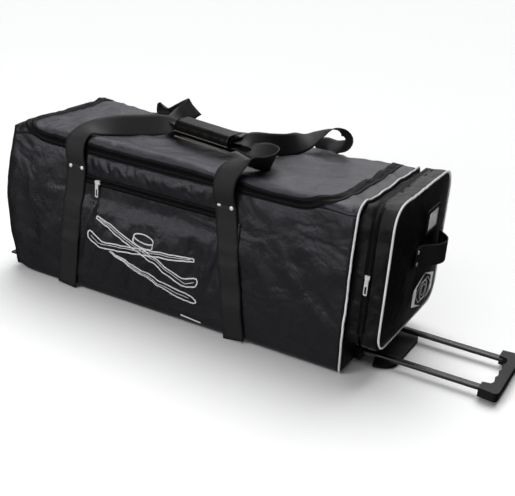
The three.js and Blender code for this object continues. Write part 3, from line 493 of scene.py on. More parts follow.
def cloth_height(y, z):
    """Distance over the bag's edge from the front zipper, for a place on the wall, the bend or the top."""
    if z < TOP_Z - LONG_ROUND:
        return z - ZIP_Z
    if y < -SIDE_Y + LONG_ROUND:
        bend = math.atan2(z - (TOP_Z - LONG_ROUND), -SIDE_Y + LONG_ROUND - y)
        return TOP_Z - LONG_ROUND - ZIP_Z + LONG_ROUND * bend
    return TOP_Z - LONG_ROUND - ZIP_Z + LONG_ROUND * math.pi / 2 + (y + SIDE_Y - LONG_ROUND)


def outside_corner(c):
    """True beyond the round front corner of the lid."""
    if c.y > 0:
        return False
    dx, dg = abs(c.x) - (ZIP_X - CORNER), CORNER - cloth_height(c.y, c.z)
    return dx > 0 and dg > 0 and math.hypot(dx, dg) > CORNER


def in_wheel_arch(c):
    return c.x < -0.378 and 0.085 < abs(c.y) < 0.125 and c.z < 0.072


def panel_of(face):
    c, n = face.calc_center_median(), face.normal
    if in_wheel_arch(c):
        return None
    if c.z > ZIP_Z and abs(c.x) < ZIP_X and abs(n.x) < 0.7 and not outside_corner(c):
        return "lid"
    if c.x > END_X - 0.0005:
        return "right_end"
    if c.x < -END_X + 0.012 and n.x < -0.7:
        return "left_end"
    if c.z < 0.006 and n.z < -0.7:
        return "base"
    if c.z > ZIP_Z:
        return "band_left" if c.x < 0 else "band_right"
    return "front_wall" if c.y < 0 else "back_wall"


PANELS = {
    "front_wall": ("wall_nylon", "bag", ["front_panel"], "nylon"),
    "back_wall": ("wall_nylon", "bag", ["back_panel"], "nylon"),
    "left_end": ("wall_nylon", "bag", ["left_end_panel"], "nylon"),
    "right_end": ("wall_nylon", "bag", ["right_end_panel"], "nylon"),
    "base": ("wall_nylon", "bag", ["bottom_panel"], "nylon"),
    "band_left": ("wall_nylon", "bag", ["top_band_left"], "lid_nylon"),
    "band_right": ("wall_nylon", "bag", ["top_band_right"], "lid_nylon"),
    # The lid takes the nylon whose colour is painted lighter, as light falling on the top.
    "lid": ("lid_nylon_painted_light", "lid", ["lid_panel"], "lid_nylon"),
}
for name, (look, body, stands_for, slot) in PANELS.items():
    part = shell.copy()
    bmesh.ops.delete(part, geom=[f for f in part.faces if panel_of(f) != name], context="FACES")
    for vert in part.verts:
        vert.co = settle(vert.co)
    made = piece(name, part, look, body, stands_for, slot, thickness_mm=1.6, offset=-1.0)
    made.data.materials.append(finishes["lining"])
    made.modifiers["thickness"].material_offset = 1
    print(name, len(made.data.polygons))
shell.free()

# %% [markdown]
# ## Bands of cloth
# Webbing, zipper tape, seams and piping are all one idea: a cross-section carried along a path. Two helpers do
# it by extruding an edge, or a small circle, from one station of the path to the next. The bands get a UV map
# in metres, along and across, which their ribs and teeth follow.

# %% Bands and cords along a path
def curve_through(stations, step=0.006):
    """Catmull-Rom through stations of equal-length vectors laid out as (place, across, width)."""
    made = []
    ends = [stations[0], *stations, stations[-1]]
    for a, b, c, d in zip(ends, ends[1:], ends[2:], ends[3:]):
        count = max(1, round((c[0] - b[0]).length / step))
        for i in range(count):
            t = i / count
            weights = (
                (-t + 2 * t**2 - t**3) / 2,
                (2 - 5 * t**2 + 3 * t**3) / 2,
                (t + 4 * t**2 - 3 * t**3) / 2,
                (t**3 - t**2) / 2,
            )
            near_by = list(zip(weights, (a, b, c, d)))
            made.append(tuple(sum((w * s[k] for w, s in near_by), Vector() if k < 2 else 0.0) for k in range(3)))
    made.append(stations[-1])
    return made


def next_row(bm, verts, edges):
    """Extrude a row of edges where it lies. Hands back the new vertices, in the old ones' order, and edges."""
    grown = bmesh.ops.extrude_edge_only(bm, edges=edges)["geom"]
    fresh = [g for g in grown if isinstance(g, bmesh.types.BMVert)]
    edges = [g for g in grown if isinstance(g, bmesh.types.BMEdge) and all(v in fresh for v in g.verts)]
    return [min(fresh, key=lambda v: (v.co - old.co).length) for old in verts], edges


def band(stations, columns=4, cup=0.0):
    """A flat band. cup lifts its middle, so it is rounded across."""
    bm = bmesh.new()
    marks = {}
    shares = [i / columns - 0.5 for i in range(columns + 1)]

    def row(k):
        at, across, width = stations[k]
        ahead = stations[min(k + 1, len(stations) - 1)][0] - stations[max(k - 1, 0)][0]
        across = (across - ahead * (across.dot(ahead) / max(ahead.length_squared, 1e-12))).normalized()
        out = across.cross(ahead).normalized()
        return [at + across * (s * width) + out * (cup * (1 - (2 * s) ** 2)) for s in shares]

    verts = [bm.verts.new(p) for p in row(0)]
    edges = [bm.edges.new(pair) for pair in zip(verts, verts[1:])]
    along = 0.0
    for i, vert in enumerate(verts):
        marks[vert] = (along, shares[i] * stations[0][2])
    for k in range(1, len(stations)):
        verts, edges = next_row(bm, verts, edges)
        along += (stations[k][0] - stations[k - 1][0]).length
        for i, (vert, place) in enumerate(zip(verts, row(k))):
            vert.co = place
            marks[vert] = (along, shares[i] * stations[k][2])
    uv = bm.loops.layers.uv.new("UVMap")
    for face in bm.faces:
        for loop in face.loops:
            loop[uv].uv = marks[loop.vert]
    bm.normal_update()
    return bm


def hose(points, radius, sides=8, closed=False):
    """A round cord along points."""
    bm = bmesh.new()
    count = len(points)
    first = bmesh.ops.create_circle(bm, segments=sides, radius=radius)["verts"]
    flat = [v.co.copy() for v in first]

    def frame_at(k, last_side):
        ahead = (points[(k + 1) % count] - points[k - 1]) if closed else (
            points[min(k + 1, count - 1)] - points[max(k - 1, 0)]
        )
        ahead.normalize()
        side = (last_side - ahead * last_side.dot(ahead)).normalized()
        return side, ahead.cross(side)

    side, other = frame_at(0, (points[1] - points[0]).orthogonal().normalized())
    for vert, f in zip(first, flat):
        vert.co = points[0] + side * f.x + other * f.y
    verts, edges = first, bm.edges[:]
    loops = [bm.edges[:]]
    for k in range(1, count):
        side, other = frame_at(k, side)
        verts, edges = next_row(bm, verts, edges)
        for vert, f in zip(verts, flat):
            vert.co = points[k] + side * f.x + other * f.y
        loops.append(edges)
    if closed:
        bmesh.ops.bridge_loops(bm, edges=loops[0] + loops[-1])
    else:
        for loop in (loops[0], loops[-1]):
            bmesh.ops.holes_fill(bm, edges=loop, sides=sides)
    bmesh.ops.recalc_face_normals(bm, faces=bm.faces)
    return bm


def joined(parts):
    """One bmesh out of several."""
    whole = bmesh.new()
    for part in parts:
        mesh = bpy.data.meshes.new("part")
        part.to_mesh(mesh)
        part.free()
        whole.from_mesh(mesh)
        bpy.data.meshes.remove(mesh)
    return whole


def stitches(points, outs, length=0.0034, gap=0.0018, thick=0.0006):
    """A row of stitches: small blocks lying on the cloth along points, with outs their surface normals."""
    parts, travelled, following = [], 0.0, 0.0
    for k in range(1, len(points)):
        ahead = points[k] - points[k - 1]
        while following <= travelled + ahead.length and ahead.length > 0:
            at = points[k - 1] + ahead * ((following - travelled) / ahead.length)
            x = ahead.normalized()
            z = (outs[k] - x * outs[k].dot(x)).normalized()
            bm = box_mesh((-length / 2, -thick / 2, 0), (length / 2, thick / 2, thick))
            turn = Matrix((x, z.cross(x), z)).transposed().to_4x4()
            bmesh.ops.transform(bm, matrix=Matrix.Translation(at) @ turn, verts=bm.verts)
            parts.append(bm)
            following += length + gap
        travelled += ahead.length
    return joined(parts)


# %% [markdown]
# ## The front: pocket, gathered band and straps
# On the front everything lies flat on the wall, so a place is given by how far along, how high, and how far
# proud of the wall it is. The wall's own settling then moves it.

# %% Places on the front and on the back
def on_wall(x, z, proud_mm, side=-1):
    return settle((x, side * (SIDE_Y + proud_mm / 1000), z))


def wall_normal(side=-1):
    return Vector((0, side, 0))


def wall_sheet(x_low, x_high, z_low, z_high, proud_mm, step=0.006, shape=None):
    """A rectangle of cloth on the front, cut into squares, lifted by shape, in mm, and settled."""
    bm = bmesh.new()
    across, high = max(2, round((x_high - x_low) / step)), max(2, round((z_high - z_low) / step))
    bmesh.ops.create_grid(bm, x_segments=across, y_segments=high, size=0.5, calc_uvs=False)
    for vert in bm.verts:
        u, v = vert.co.x + 0.5, vert.co.y + 0.5
        extra = shape(u, v) if shape else 0
        vert.co = on_wall(x_low + u * (x_high - x_low), z_low + v * (z_high - z_low), proud_mm + extra)
    bm.normal_update()
    if bm.faces[:][0].normal.y > 0:
        bmesh.ops.reverse_faces(bm, faces=bm.faces)
    return bm


# %% [markdown]
# The pocket is one sheet between the straps. It hangs from its zipper, so small gathers start at the tape and
# die out downwards; lower down it is slack and swells a little.

# %% Front pocket
LEFT_X, RIGHT_X = -0.252, 0.189
POCKET_LOW, POCKET_HIGH = 0.034, 0.270


def pocket_shape(u, v):
    x = LEFT_X + u * (RIGHT_X - LEFT_X)
    gather = noise.noise(Vector((x * 90, v * 2.2, 4.0)))
    swell = math.sin(math.pi * min(1, v * 1.1)) * math.sin(math.pi * u)
    gathered = climb(v, 0.45, 0.93) * (1 - climb(v, 0.94, 1.0))
    return 1.1 + 2.4 * max(0, swell) * (1 - v**4) + 1.3 * gather * gathered


pocket = wall_sheet(LEFT_X, RIGHT_X, POCKET_LOW, POCKET_HIGH, 0.6, 0.0045, pocket_shape)
piece("front_pocket", pocket, "wall_nylon", "bag", ["front_pocket_panel"], "nylon", thickness_mm=1.0)


# %% [markdown]
# Between the pocket's zipper and the lid's zipper a strip of cloth is gathered: it puffs out like a small
# bolster, with short sharp puckers where the stitching shortens it at both edges.

# %% Gathered band above the pocket
def band_shape(u, v):
    x = u * 0.34
    pucker = 1 - 2.2 * abs(noise.noise(Vector((x * 42 + v * 1.4, v * 1.5, 2.0))))
    fine = noise.noise(Vector((x * 120, v * 3.0, 8.0)))
    edge = 1 - (2 * v - 1) ** 4
    return edge * (3.4 + 2.0 * pucker + 0.7 * fine) * min(1, 8 * u, 8 * (1 - u))


yoke = wall_sheet(-0.206, 0.128, 0.2845, 0.3335, 0.4, 0.0035, band_shape)
piece("gathered_band", yoke, "wall_nylon", "bag", slot="nylon", thickness_mm=0.8)

# %% [markdown]
# The straps run from under the bag up to the rivets, where the sewn part ends and the free handle begins. They
# are 50 mm webbing with a row of stitches near each edge.

# %% Straps sewn to the walls
WEB = 0.050
STRAP_LOW, STRAP_TOP, STRAP_RISE = 0.004, {-1: 0.305, 1: 0.343}, 0.301
STRAP_PARTS = 45


def strap(node, x_top, x_foot, side):
    out = wall_normal(side)
    stations = []
    for i in range(STRAP_PARTS + 1):
        z = STRAP_LOW + (STRAP_TOP[side] - STRAP_LOW) * i / STRAP_PARTS
        x = x_foot + (x_top - x_foot) * (z - STRAP_LOW) / STRAP_RISE
        stations.append((on_wall(x, z, 4.6, side), Vector((1, 0, 0)), WEB))
    rows = []
    for share in (-0.43, 0.43):
        line = [s[0] + Vector((share * WEB, side * 0.0013, 0)) for s in stations]
        rows.append(stitches(line, [out] * len(line)))
    piece(f"{node}_web", band(stations, 8), "strap_webbing", "bag", [node], "webbing", thickness_mm=2.4)
    piece(f"{node}_stitches", joined(rows), "thread_black", "bag", smooth=False)


STRAP_PLACES = {
    "front_strap_left": (-0.228, -0.2557, -1),
    "front_strap_right": (0.152, 0.1935, -1),
    "back_strap_left": (-0.228, -0.2557, 1),
    "back_strap_right": (0.190, 0.2315, 1),
}
for node, place in STRAP_PLACES.items():
    strap(node, *place)


# %% [markdown]
# A rivet is a turned part: half its outline is drawn once and spun about its axis. Two hold each strap where the
# free handle begins.

# %% Rivets
def rivet(at, out):
    bm = bmesh.new()
    outline = [(0, 1.5), (1.8, 1.35), (2.6, 0.75), (3.0, 0.85), (4.1, 0.8), (4.5, 0.4), (4.5, 0)]
    verts = [bm.verts.new((r / 1000, 0, h / 1000)) for r, h in outline]
    edges = [bm.edges.new(pair) for pair in zip(verts, verts[1:])]
    bmesh.ops.spin(
        bm, geom=verts + edges, axis=(0, 0, 1), cent=(0, 0, 0), angle=math.tau, steps=24, use_merge=True
    )
    bmesh.ops.remove_doubles(bm, verts=bm.verts, dist=0.00005)
    turn = Vector(out).to_track_quat("Z", "Y").to_matrix().to_4x4()
    bmesh.ops.transform(bm, matrix=Matrix.Translation(at) @ turn, verts=bm.verts)
    bmesh.ops.recalc_face_normals(bm, faces=bm.faces)
    return bm


RIVET_Z = 0.300
for node, (x_top, _, side) in STRAP_PLACES.items():
    for k, shift in enumerate((-0.015, 0.015), 1):
        cad = f"strap_rivet_{node.split('_')[-1]}_{k}"
        at = on_wall(x_top + shift, RIVET_Z, 5.9, side)
        stands_for = [cad] if side < 0 else []
        head = rivet(at, wall_normal(side))
        piece(f"{node}_rivet_{k}", head, "polished_nickel", "bag", stands_for, "nickel")

# %% [markdown]
# ## Zippers
# A zipper is two tapes with half a coil on the edge of each. The front pocket's tapes both belong to the bag.
# The lid's lower tape stays on the bag and its upper one goes with the lid, so the two part when it opens. The
# lid's line is drawn on the cloth laid flat, as distance along the bag and distance over its top, with rounded
# corners, and then wrapped over the bag's section.

# %% Front pocket's zipper
ZIP_LEVEL = 0.2763


def wall_run(x_low, x_high, z, proud_mm, width, step=0.006):
    count = round((x_high - x_low) / step)
    places = (on_wall(x_low + (x_high - x_low) * i / count, z, proud_mm) for i in range(count + 1))
    return [(at, Vector((0, 0, 1)), width) for at in places]


tapes = joined([
    band(wall_run(-0.208, 0.132, ZIP_LEVEL + shift, 2.4, 0.0085), 2) for shift in (-0.0056, 0.0056)
])
stands_for = ["front_pocket_zipper"]
piece("front_pocket_tapes", tapes, "zipper_tape_cloth", "bag", stands_for, "zipper_tape", thickness_mm=0.8)
coil = band(wall_run(-0.206, 0.130, ZIP_LEVEL, 3.1, 0.0042), 4, 0.0008)
piece("front_pocket_coil", coil, "zipper_coil", "bag", slot="zipper_tape", thickness_mm=0.6)

# %% Lid's zipper, wrapped over the bag
ARC = LONG_ROUND
ARC_LENGTH = ARC * math.pi / 2
RISE_BEFORE = TOP_Z - ARC - ZIP_Z
FLAT = 2 * (SIDE_Y - ARC)
GIRTH = 2 * (RISE_BEFORE + ARC_LENGTH) + FLAT


def over_top(x, girth):
    """Place and normal on the rest section, girth being the distance over the top from the front zipper."""
    far = girth > GIRTH / 2
    g = GIRTH - girth if far else girth
    if g < RISE_BEFORE:
        y, z, ny, nz = -SIDE_Y, ZIP_Z + g, -1.0, 0.0
    elif g < RISE_BEFORE + ARC_LENGTH:
        turn = (g - RISE_BEFORE) / ARC
        ny, nz = -math.cos(turn), math.sin(turn)
        y, z = -SIDE_Y + ARC + ny * ARC, TOP_Z - ARC + nz * ARC
    else:
        y, z, ny, nz = -SIDE_Y + ARC + (g - RISE_BEFORE - ARC_LENGTH), TOP_Z, 0.0, 1.0
    flip = -1 if far else 1
    return Vector((x, flip * y, z)), Vector((0, flip * ny, nz))


def zip_line(offset, corner=CORNER, step=0.005):
    """Stations round the lid, offset from the zipper's middle, outwards or (below zero) inwards."""
    x_end, radius = ZIP_X + offset, corner + offset
    flat = []
    for side in (-1, 1):
        leg = [(side * x_end, GIRTH - 0.001 - (GIRTH - 0.001 - corner) * i / 70) for i in range(71)]
        turn = [
            (side * (ZIP_X - corner + radius * math.cos(a)), corner - radius * math.sin(a))
            for a in (math.radians(9 * i) for i in range(1, 11))
        ]
        flat.append(leg + turn)
    x_turn = ZIP_X - corner
    count = round(2 * x_turn / step)
    along = [(-x_turn + 2 * x_turn * i / count, -offset) for i in range(1, count)]
    return flat[0] + along + flat[1][::-1]


def lid_run(offset, width, proud_mm):
    line = zip_line(offset)
    stations = []
    for k, (x, g) in enumerate(line):
        rest, out = over_top(x, g)
        at = settle(rest) + out * (proud_mm / 1000)
        after, before = line[min(k + 1, len(line) - 1)], line[max(k - 1, 0)]
        ahead = settle(over_top(*after)[0]) - settle(over_top(*before)[0])
        stations.append((at, out.cross(ahead).normalized(), width))
    return stations


for node, body, sign in (("lid_zipper_lower", "bag", 1), ("lid_zipper_upper", "lid", -1)):
    tape = band(lid_run(sign * 0.0068, 0.0110, 0.9), 2)
    coil = band(lid_run(sign * 0.0012, 0.0023, 1.5), 2, 0.0004)
    seam = lid_run(sign * 0.0105, 0.001, 1.5)
    piece(f"{node}_tape", tape, "zipper_tape_cloth", body, [node], "zipper_tape", thickness_mm=0.9)
    piece(f"{node}_coil", coil, "zipper_coil", body, slot="zipper_tape", thickness_mm=0.9)
    row = stitches([s[0] for s in seam], [Vector((0, -0.5, 0.8))] * len(seam))
    piece(f"{node}_stitches", row, "thread_black", body, smooth=False)
print("lid zipper", round(GIRTH, 3), "m over the top")

# %% [markdown]
# ## Piping
# Piping is a cord in a folded strip of vinyl, sewn into the seam. It follows the edge of the end panel, and a
# second one the edge of the pocket's face.

# %% White piping
def spread(start, end, step):
    """Points between two others, without the ends, about a step apart."""
    count = max(1, round(math.dist(start, end) / step))
    return [tuple(a + (b - a) * i / count for a, b in zip(start, end)) for i in range(1, count)]


def rounded_ring(half_y, low, high, radius, step=0.009):
    """Points (y, z) round an upright rectangle with round corners."""
    corners = [(half_y, low, -90), (half_y, high, 0), (-half_y, high, 90), (-half_y, low, 180)]
    ring = []
    for y, z, start in corners:
        cy, cz = y - math.copysign(radius, y), z + (radius if z == low else -radius)
        turn = [(cy + radius * math.cos(a), cz + radius * math.sin(a))
                for a in (math.radians(start + 10 * i) for i in range(10))]
        ring += (spread(ring[-1], turn[0], step) if ring else []) + turn
    return ring + spread(ring[-1], ring[0], step)


PIPE = 0.0023
SEAM_X = END_X - 0.0005  # the end panel's seam
body_ring = rounded_ring(SIDE_Y, 0.002, TOP_Z, LONG_ROUND)
cord_line = [
    settle((SEAM_X, y, z)) + Vector((0.0008, y * 0.008, 0.003 * climb(z, 0.2, 0.3))) for y, z in body_ring
]
cord = hose(cord_line, PIPE, closed=True)
piece("body_piping_cord", cord, "piping_white", "bag", ["body_piping"], "white_piping")

# %% [markdown]
# ## The end pocket
# The pocket is a shallow box on the right end: a fixed side, a zipper all round its top three sides, and an
# outer shell that folds down. The shell starts as a cube, is bevelled and sliced, and its face is then swelled
# like a cushion, hollowed a little near the top where it hangs from its piping.

# %% Pocket shell and its fixed side
POCKET_Y, POCKET_LOW_Z, POCKET_HIGH_Z, POCKET_ROUND = 0.168, 0.072, 0.376, 0.042
RIM_X = 0.5105
SHELL_X, SIDE_LOW_X, SIDE_HIGH_X = 0.4750, 0.4384, 0.4703
POCKET_ZIP_X = 0.4726


def pocket_settle(point):
    x, y, z = point
    outer = climb(x, 0.474, RIM_X)
    side = climb(abs(y), 0.13, 0.165)
    top = climb(z, 0.33, 0.374)
    ripple = fold((x * 2.2, y, z), 90, 26, 0.2, 6.1)
    dz = 0.003 * outer * top + 0.0022 * ripple * top
    side_ripple = 0.0022 * fold((z, x * 1.5, y), 80, 30, 0.9, 3.3) * near(x, 0.494, 0.018)
    return Vector((x, y + math.copysign(1, y) * side * side_ripple, z + dz))


def face_swell(y, z):
    """How far the pocket's face stands out of its rim."""
    u, v = abs(y) / POCKET_Y, abs(z - 0.222) / 0.154
    plain = max(0.0, (1 - u**2.6)) * max(0.0, (1 - v**2.6))
    creases = 0.0016 * fold((y, 0.3, z), 120, 34, 1.0, 2.9) + 0.0009 * fold((y, 0.1, z), 70, 18, -0.4, 8.8)
    under_window = climb(z, 0.255, 0.275) * near(y, 0.028, 0.06)
    return (0.0112 * min(1, plain * 1.25)) + creases * plain * (1 - 0.8 * under_window)


def pocket_block(x_low, x_high):
    bm = box_mesh((x_low, -POCKET_Y, POCKET_LOW_Z), (x_high, POCKET_Y, POCKET_HIGH_Z))
    round_edges(bm, POCKET_ROUND, 6, lambda a, b: abs(a.x - b.x) > 0.01 and a.z > 0.2)
    round_edges(bm, 0.020, 4, lambda a, b: abs(a.x - b.x) > 0.01 and a.z < 0.08 and b.z < 0.08)
    return bm


pocket_bm = pocket_block(SHELL_X, RIM_X)
round_edges(pocket_bm, 0.0045, 3, lambda a, b: a.x > RIM_X - 0.001 and b.x > RIM_X - 0.001)
slice_every(pocket_bm, 0, steps(SHELL_X, RIM_X - 0.005, 0.006))
slice_every(pocket_bm, 1, steps(-POCKET_Y + 0.012, POCKET_Y - 0.012, 0.007))
slice_every(pocket_bm, 2, steps(POCKET_LOW_Z + 0.012, POCKET_HIGH_Z - 0.012, 0.007))
bmesh.ops.remove_doubles(pocket_bm, verts=pocket_bm.verts, dist=0.0004)
open_side = [f for f in pocket_bm.faces if f.calc_center_median().x < SHELL_X + 0.0001]
bmesh.ops.delete(pocket_bm, geom=open_side, context="FACES")
for vert in pocket_bm.verts:
    x, y, z = vert.co
    if x > RIM_X - 0.0001:
        vert.co.x += face_swell(y, z)
    vert.co = pocket_settle(vert.co)
WALL = {"thickness_mm": 1.4, "offset": -1}
# The pocket's cover takes the nylon whose colour is painted darker, as shade on the end.
piece("pocket_cover", pocket_bm, "pocket_nylon_painted_shade", "end_pocket", ["pocket_shell"], "nylon", **WALL)

gusset = pocket_block(SIDE_LOW_X, SIDE_HIGH_X)
slice_every(gusset, 0, steps(SIDE_LOW_X, SIDE_HIGH_X, 0.005))
slice_every(gusset, 1, steps(-POCKET_Y, POCKET_Y, 0.009))
slice_every(gusset, 2, steps(POCKET_LOW_Z, POCKET_HIGH_Z, 0.009))
bmesh.ops.delete(gusset, geom=[f for f in gusset.faces if abs(f.normal.x) > 0.9], context="FACES")
for vert in gusset.verts:
    x, y, z = vert.co
    tuck = 0.0025 * near(x, 0.454, 0.018) + 0.0016 * fold((z, x, y), 60, 20, 0.8, 1.9) * near(x, 0.454, 0.018)
    vert.co.y -= math.copysign(tuck, y) * climb(abs(y), 0.13, 0.16)
    # The side starts below the body's piping, so that the piping shows on the top.
    below_piping = POCKET_HIGH_Z - settle((SEAM_X, y, TOP_Z)).z + 0.003
    sunk = below_piping * (1 - climb(x, SIDE_LOW_X, 0.466)) * climb(z, 0.30, 0.376)
    vert.co.z -= tuck * climb(z, 0.33, 0.37) + sunk
# The pocket's side also takes the nylon whose colour is painted darker, as shade on the end.
piece("pocket_side", gusset, "pocket_nylon_painted_shade", "bag", ["pocket_gusset"], "nylon", **WALL)

# %% Pocket's zipper and piping
ring = rounded_ring(POCKET_Y, POCKET_LOW_Z, POCKET_HIGH_Z, POCKET_ROUND, 0.006)
ZIP_ENDS_Z = 0.080
first = next(i for i, (y, z) in enumerate(ring) if z > ZIP_ENDS_Z)
open_ring = [p for p in ring[first:] if p[1] > ZIP_ENDS_Z]


def ring_out(y, z):
    """Normal of the rounded upright rectangle at a point of it."""
    cy = math.copysign(min(abs(y), POCKET_Y - POCKET_ROUND), y)
    cz = min(max(z, POCKET_LOW_Z + POCKET_ROUND), POCKET_HIGH_Z - POCKET_ROUND)
    return Vector((0, y - cy, z - cz)).normalized()


def ring_run(x, width, proud_mm):
    places = (Vector((x, y, z)) + ring_out(y, z) * (proud_mm / 1000) for y, z in open_ring)
    return [(at, Vector((1, 0, 0)), width) for at in places]


both = joined([band(ring_run(POCKET_ZIP_X + s * 0.0048, 0.0072, 0.3), 2) for s in (-1, 1)])
piece("pocket_tapes", both, "zipper_tape_cloth", "bag", ["pocket_zipper"], "zipper_tape", thickness_mm=0.7)
coil = band(ring_run(POCKET_ZIP_X, 0.0040, 0.8), 4, 0.0008)
piece("pocket_coil", coil, "zipper_coil", "bag", slot="zipper_tape", thickness_mm=0.6)
face_ring = rounded_ring(POCKET_Y, POCKET_LOW_Z, POCKET_HIGH_Z, POCKET_ROUND)
cord = hose([pocket_settle((RIM_X + 0.0008, y, z)) for y, z in face_ring], PIPE, closed=True)
piece("pocket_piping_cord", cord, "piping_white", "end_pocket", ["pocket_piping"], "white_piping")

# %% [markdown]
# The window, its card and its frame are flat and already right in the CAD model, so they only get a finish.
# The grab handle is webbing, sewn flat at both ends, and bows out far enough for a hand.

# %% Grab handle
GRAB_Z, GRAB_FLAT = 0.242, 0.5262
GRAB_POINTS = [
    (-0.052, 0.0), (-0.040, 0.0), (-0.026, 0.001), (-0.010, 0.0125), (0.006, 0.0265), (0.024, 0.0335),
    (0.042, 0.0335), (0.060, 0.0265), (0.076, 0.0120), (0.088, 0.001), (0.098, 0.0), (0.108, 0.0),
]
grab_stations = [(Vector((GRAB_FLAT + out, y, GRAB_Z)), Vector((0, 0, 1)), 0.046) for y, out in GRAB_POINTS]
grab = band(curve_through(grab_stations, 0.004), 8)
piece("grab_webbing", grab, "strap_webbing", "end_pocket", ["grab_handle"], "webbing", thickness_mm=2.2)
for name, y, cads in (("near", -0.042, ["grab_rivet_1", "grab_rivet_2"]), ("far", 0.100, [])):
    heads = joined([rivet(Vector((GRAB_FLAT + 0.0011, y, GRAB_Z + s * 0.013)), (1, 0, 0)) for s in (-1, 1)])
    piece(f"grab_rivets_{name}", heads, "polished_nickel", "end_pocket", cads, "nickel")

# %% [markdown]
# The patch has six sides: a pale backing shows at two corners of the dark field. A six-sided outline with two
# plain rings inside it is embroidered in the middle.

# %% Patch on the pocket
PATCH_X, PATCH_Y, PATCH_Z, PATCH_LONG, PATCH_HIGH = 0.5243, 0.038, 0.142, 0.072, 0.034


def six_sided(x_low, x_high, long, high):
    bm = bmesh.new()
    bmesh.ops.create_circle(bm, cap_ends=True, segments=6, radius=1)
    bmesh.ops.transform(bm, matrix=Matrix.Diagonal((long, high * 1.15, 1, 1)), verts=bm.verts)
    side = bmesh.ops.extrude_face_region(bm, geom=bm.faces[:])["geom"]
    raised = [g for g in side if isinstance(g, bmesh.types.BMVert)]
    bmesh.ops.translate(bm, vec=(0, 0, x_high - x_low), verts=raised)
    bmesh.ops.recalc_face_normals(bm, faces=bm.faces)
    turn = Matrix(((0, 0, 1), (1, 0, 0), (0, 1, 0))).to_4x4()
    bmesh.ops.transform(bm, matrix=Matrix.Translation((x_low, PATCH_Y, PATCH_Z)) @ turn, verts=bm.verts)
    return bm


def flat_loop(points, width, x):
    """A closed flat stroke on the patch."""
    line = [Vector((x, PATCH_Y + y, PATCH_Z + z)) for y, z in points]
    line = [*line, line[0]]
    stations = []
    for k, at in enumerate(line):
        ahead = line[(k + 1) % (len(line) - 1)] - line[k - 1 if k else -2]
        stations.append((at, Vector((1, 0, 0)).cross(ahead).normalized(), width))
    return band(stations, 2, 0.0003)


def oval(long, high, count=32):
    turns = (math.tau * i / count for i in range(count))
    return [(long * math.cos(a), high * math.sin(a)) for a in turns]


BACKING_X, FIELD_X, THREAD_X = (PATCH_X + step for step in (0.0009, 0.0016, 0.0019))
backing = six_sided(PATCH_X, BACKING_X, PATCH_LONG, PATCH_HIGH * 0.98)
piece("patch_backing", backing, "patch_white", "end_pocket", ["emblem_patch"], "patch", smooth=False)
field = six_sided(BACKING_X, FIELD_X, PATCH_LONG * 0.70, PATCH_HIGH * 0.97)
# The dark field takes the end pocket's nylon, whose colour is painted darker as shade on the end.
piece("patch_field", field, "pocket_nylon_painted_shade", "end_pocket", slot="patch", smooth=False)
marks = joined([
    flat_loop(oval(0.021, 0.021), 0.0022, THREAD_X),
    flat_loop(oval(0.0125, 0.0125), 0.0018, THREAD_X),
    flat_loop(oval(0.047, 0.0255, 6), 0.0016, THREAD_X),
])
piece("patch_ring", marks, "thread_white", "end_pocket", slot="patch", thickness_mm=0.5)

# %% [markdown]
# ## Carry handles
# Each handle is one length of webbing. It leaves its strap, twists over the edge of the lid, runs through the
# padded wrap, and twists back down to the other strap. The stations below are its route.

# %% Handle webbing
WRAP_AT, WRAP_TURN = Vector((0.0195, -0.029, 0.390)), math.radians(-11)
wrap_along = Vector((math.cos(WRAP_TURN), math.sin(WRAP_TURN), 0))
wrap_across = Vector((math.sin(WRAP_TURN), -math.cos(WRAP_TURN), 0))


def station(x, y, z, ax, ay, az, width=50):
    """A place and a width in mm, and the direction across the webbing."""
    return Vector((x, y, z)) / 1000, Vector((ax, ay, az)).normalized(), width / 1000


def in_wrap(along_mm, layer_mm, sign=1):
    """A station inside the wrap, where the webbing is pressed a little narrower."""
    at = WRAP_AT + wrap_along * (along_mm / 1000) + Vector((0, 0, layer_mm / 1000))
    return at, wrap_across * sign, 0.044


front_route = [
    station(-228, -176.0, 303, 1, 0, 0),
    station(-229, -182, 330, 1, 0, 0),
    station(-229, -177, 360, 1, 0, 0),
    station(-222, -152, 380, 0.95, -0.3, -0.1),
    station(-202, -124, 384, 0.62, -0.45, -0.5),
    station(-172, -86, 385, 0.34, -0.5, -0.75),
    station(-126, -42, 386, 0.15, -0.6, -0.75),
    station(-96, -20, 388, 0.1, -0.7, -0.65, 48),
    in_wrap(-70, -5),
    in_wrap(70, -5),
    in_wrap(90, -5),
    station(140, -44, 385, -0.15, -0.85, -0.5, 46),
    station(172, -46, 386, -0.25, -0.5, -0.85, 48),
    station(199, -66, 386, -0.35, -0.1, -0.95),
    station(205, -96, 387, -0.45, 0.15, -0.9),
    station(194, -128, 392, -0.75, 0.2, -0.65),
    station(174, -154, 397, -0.95, 0.1, -0.25),
    station(157, -184, 373, -1, 0, 0),
    station(152, -189, 336, -1, 0, 0),
    station(152, -176.0, 303, -1, 0, 0),
]
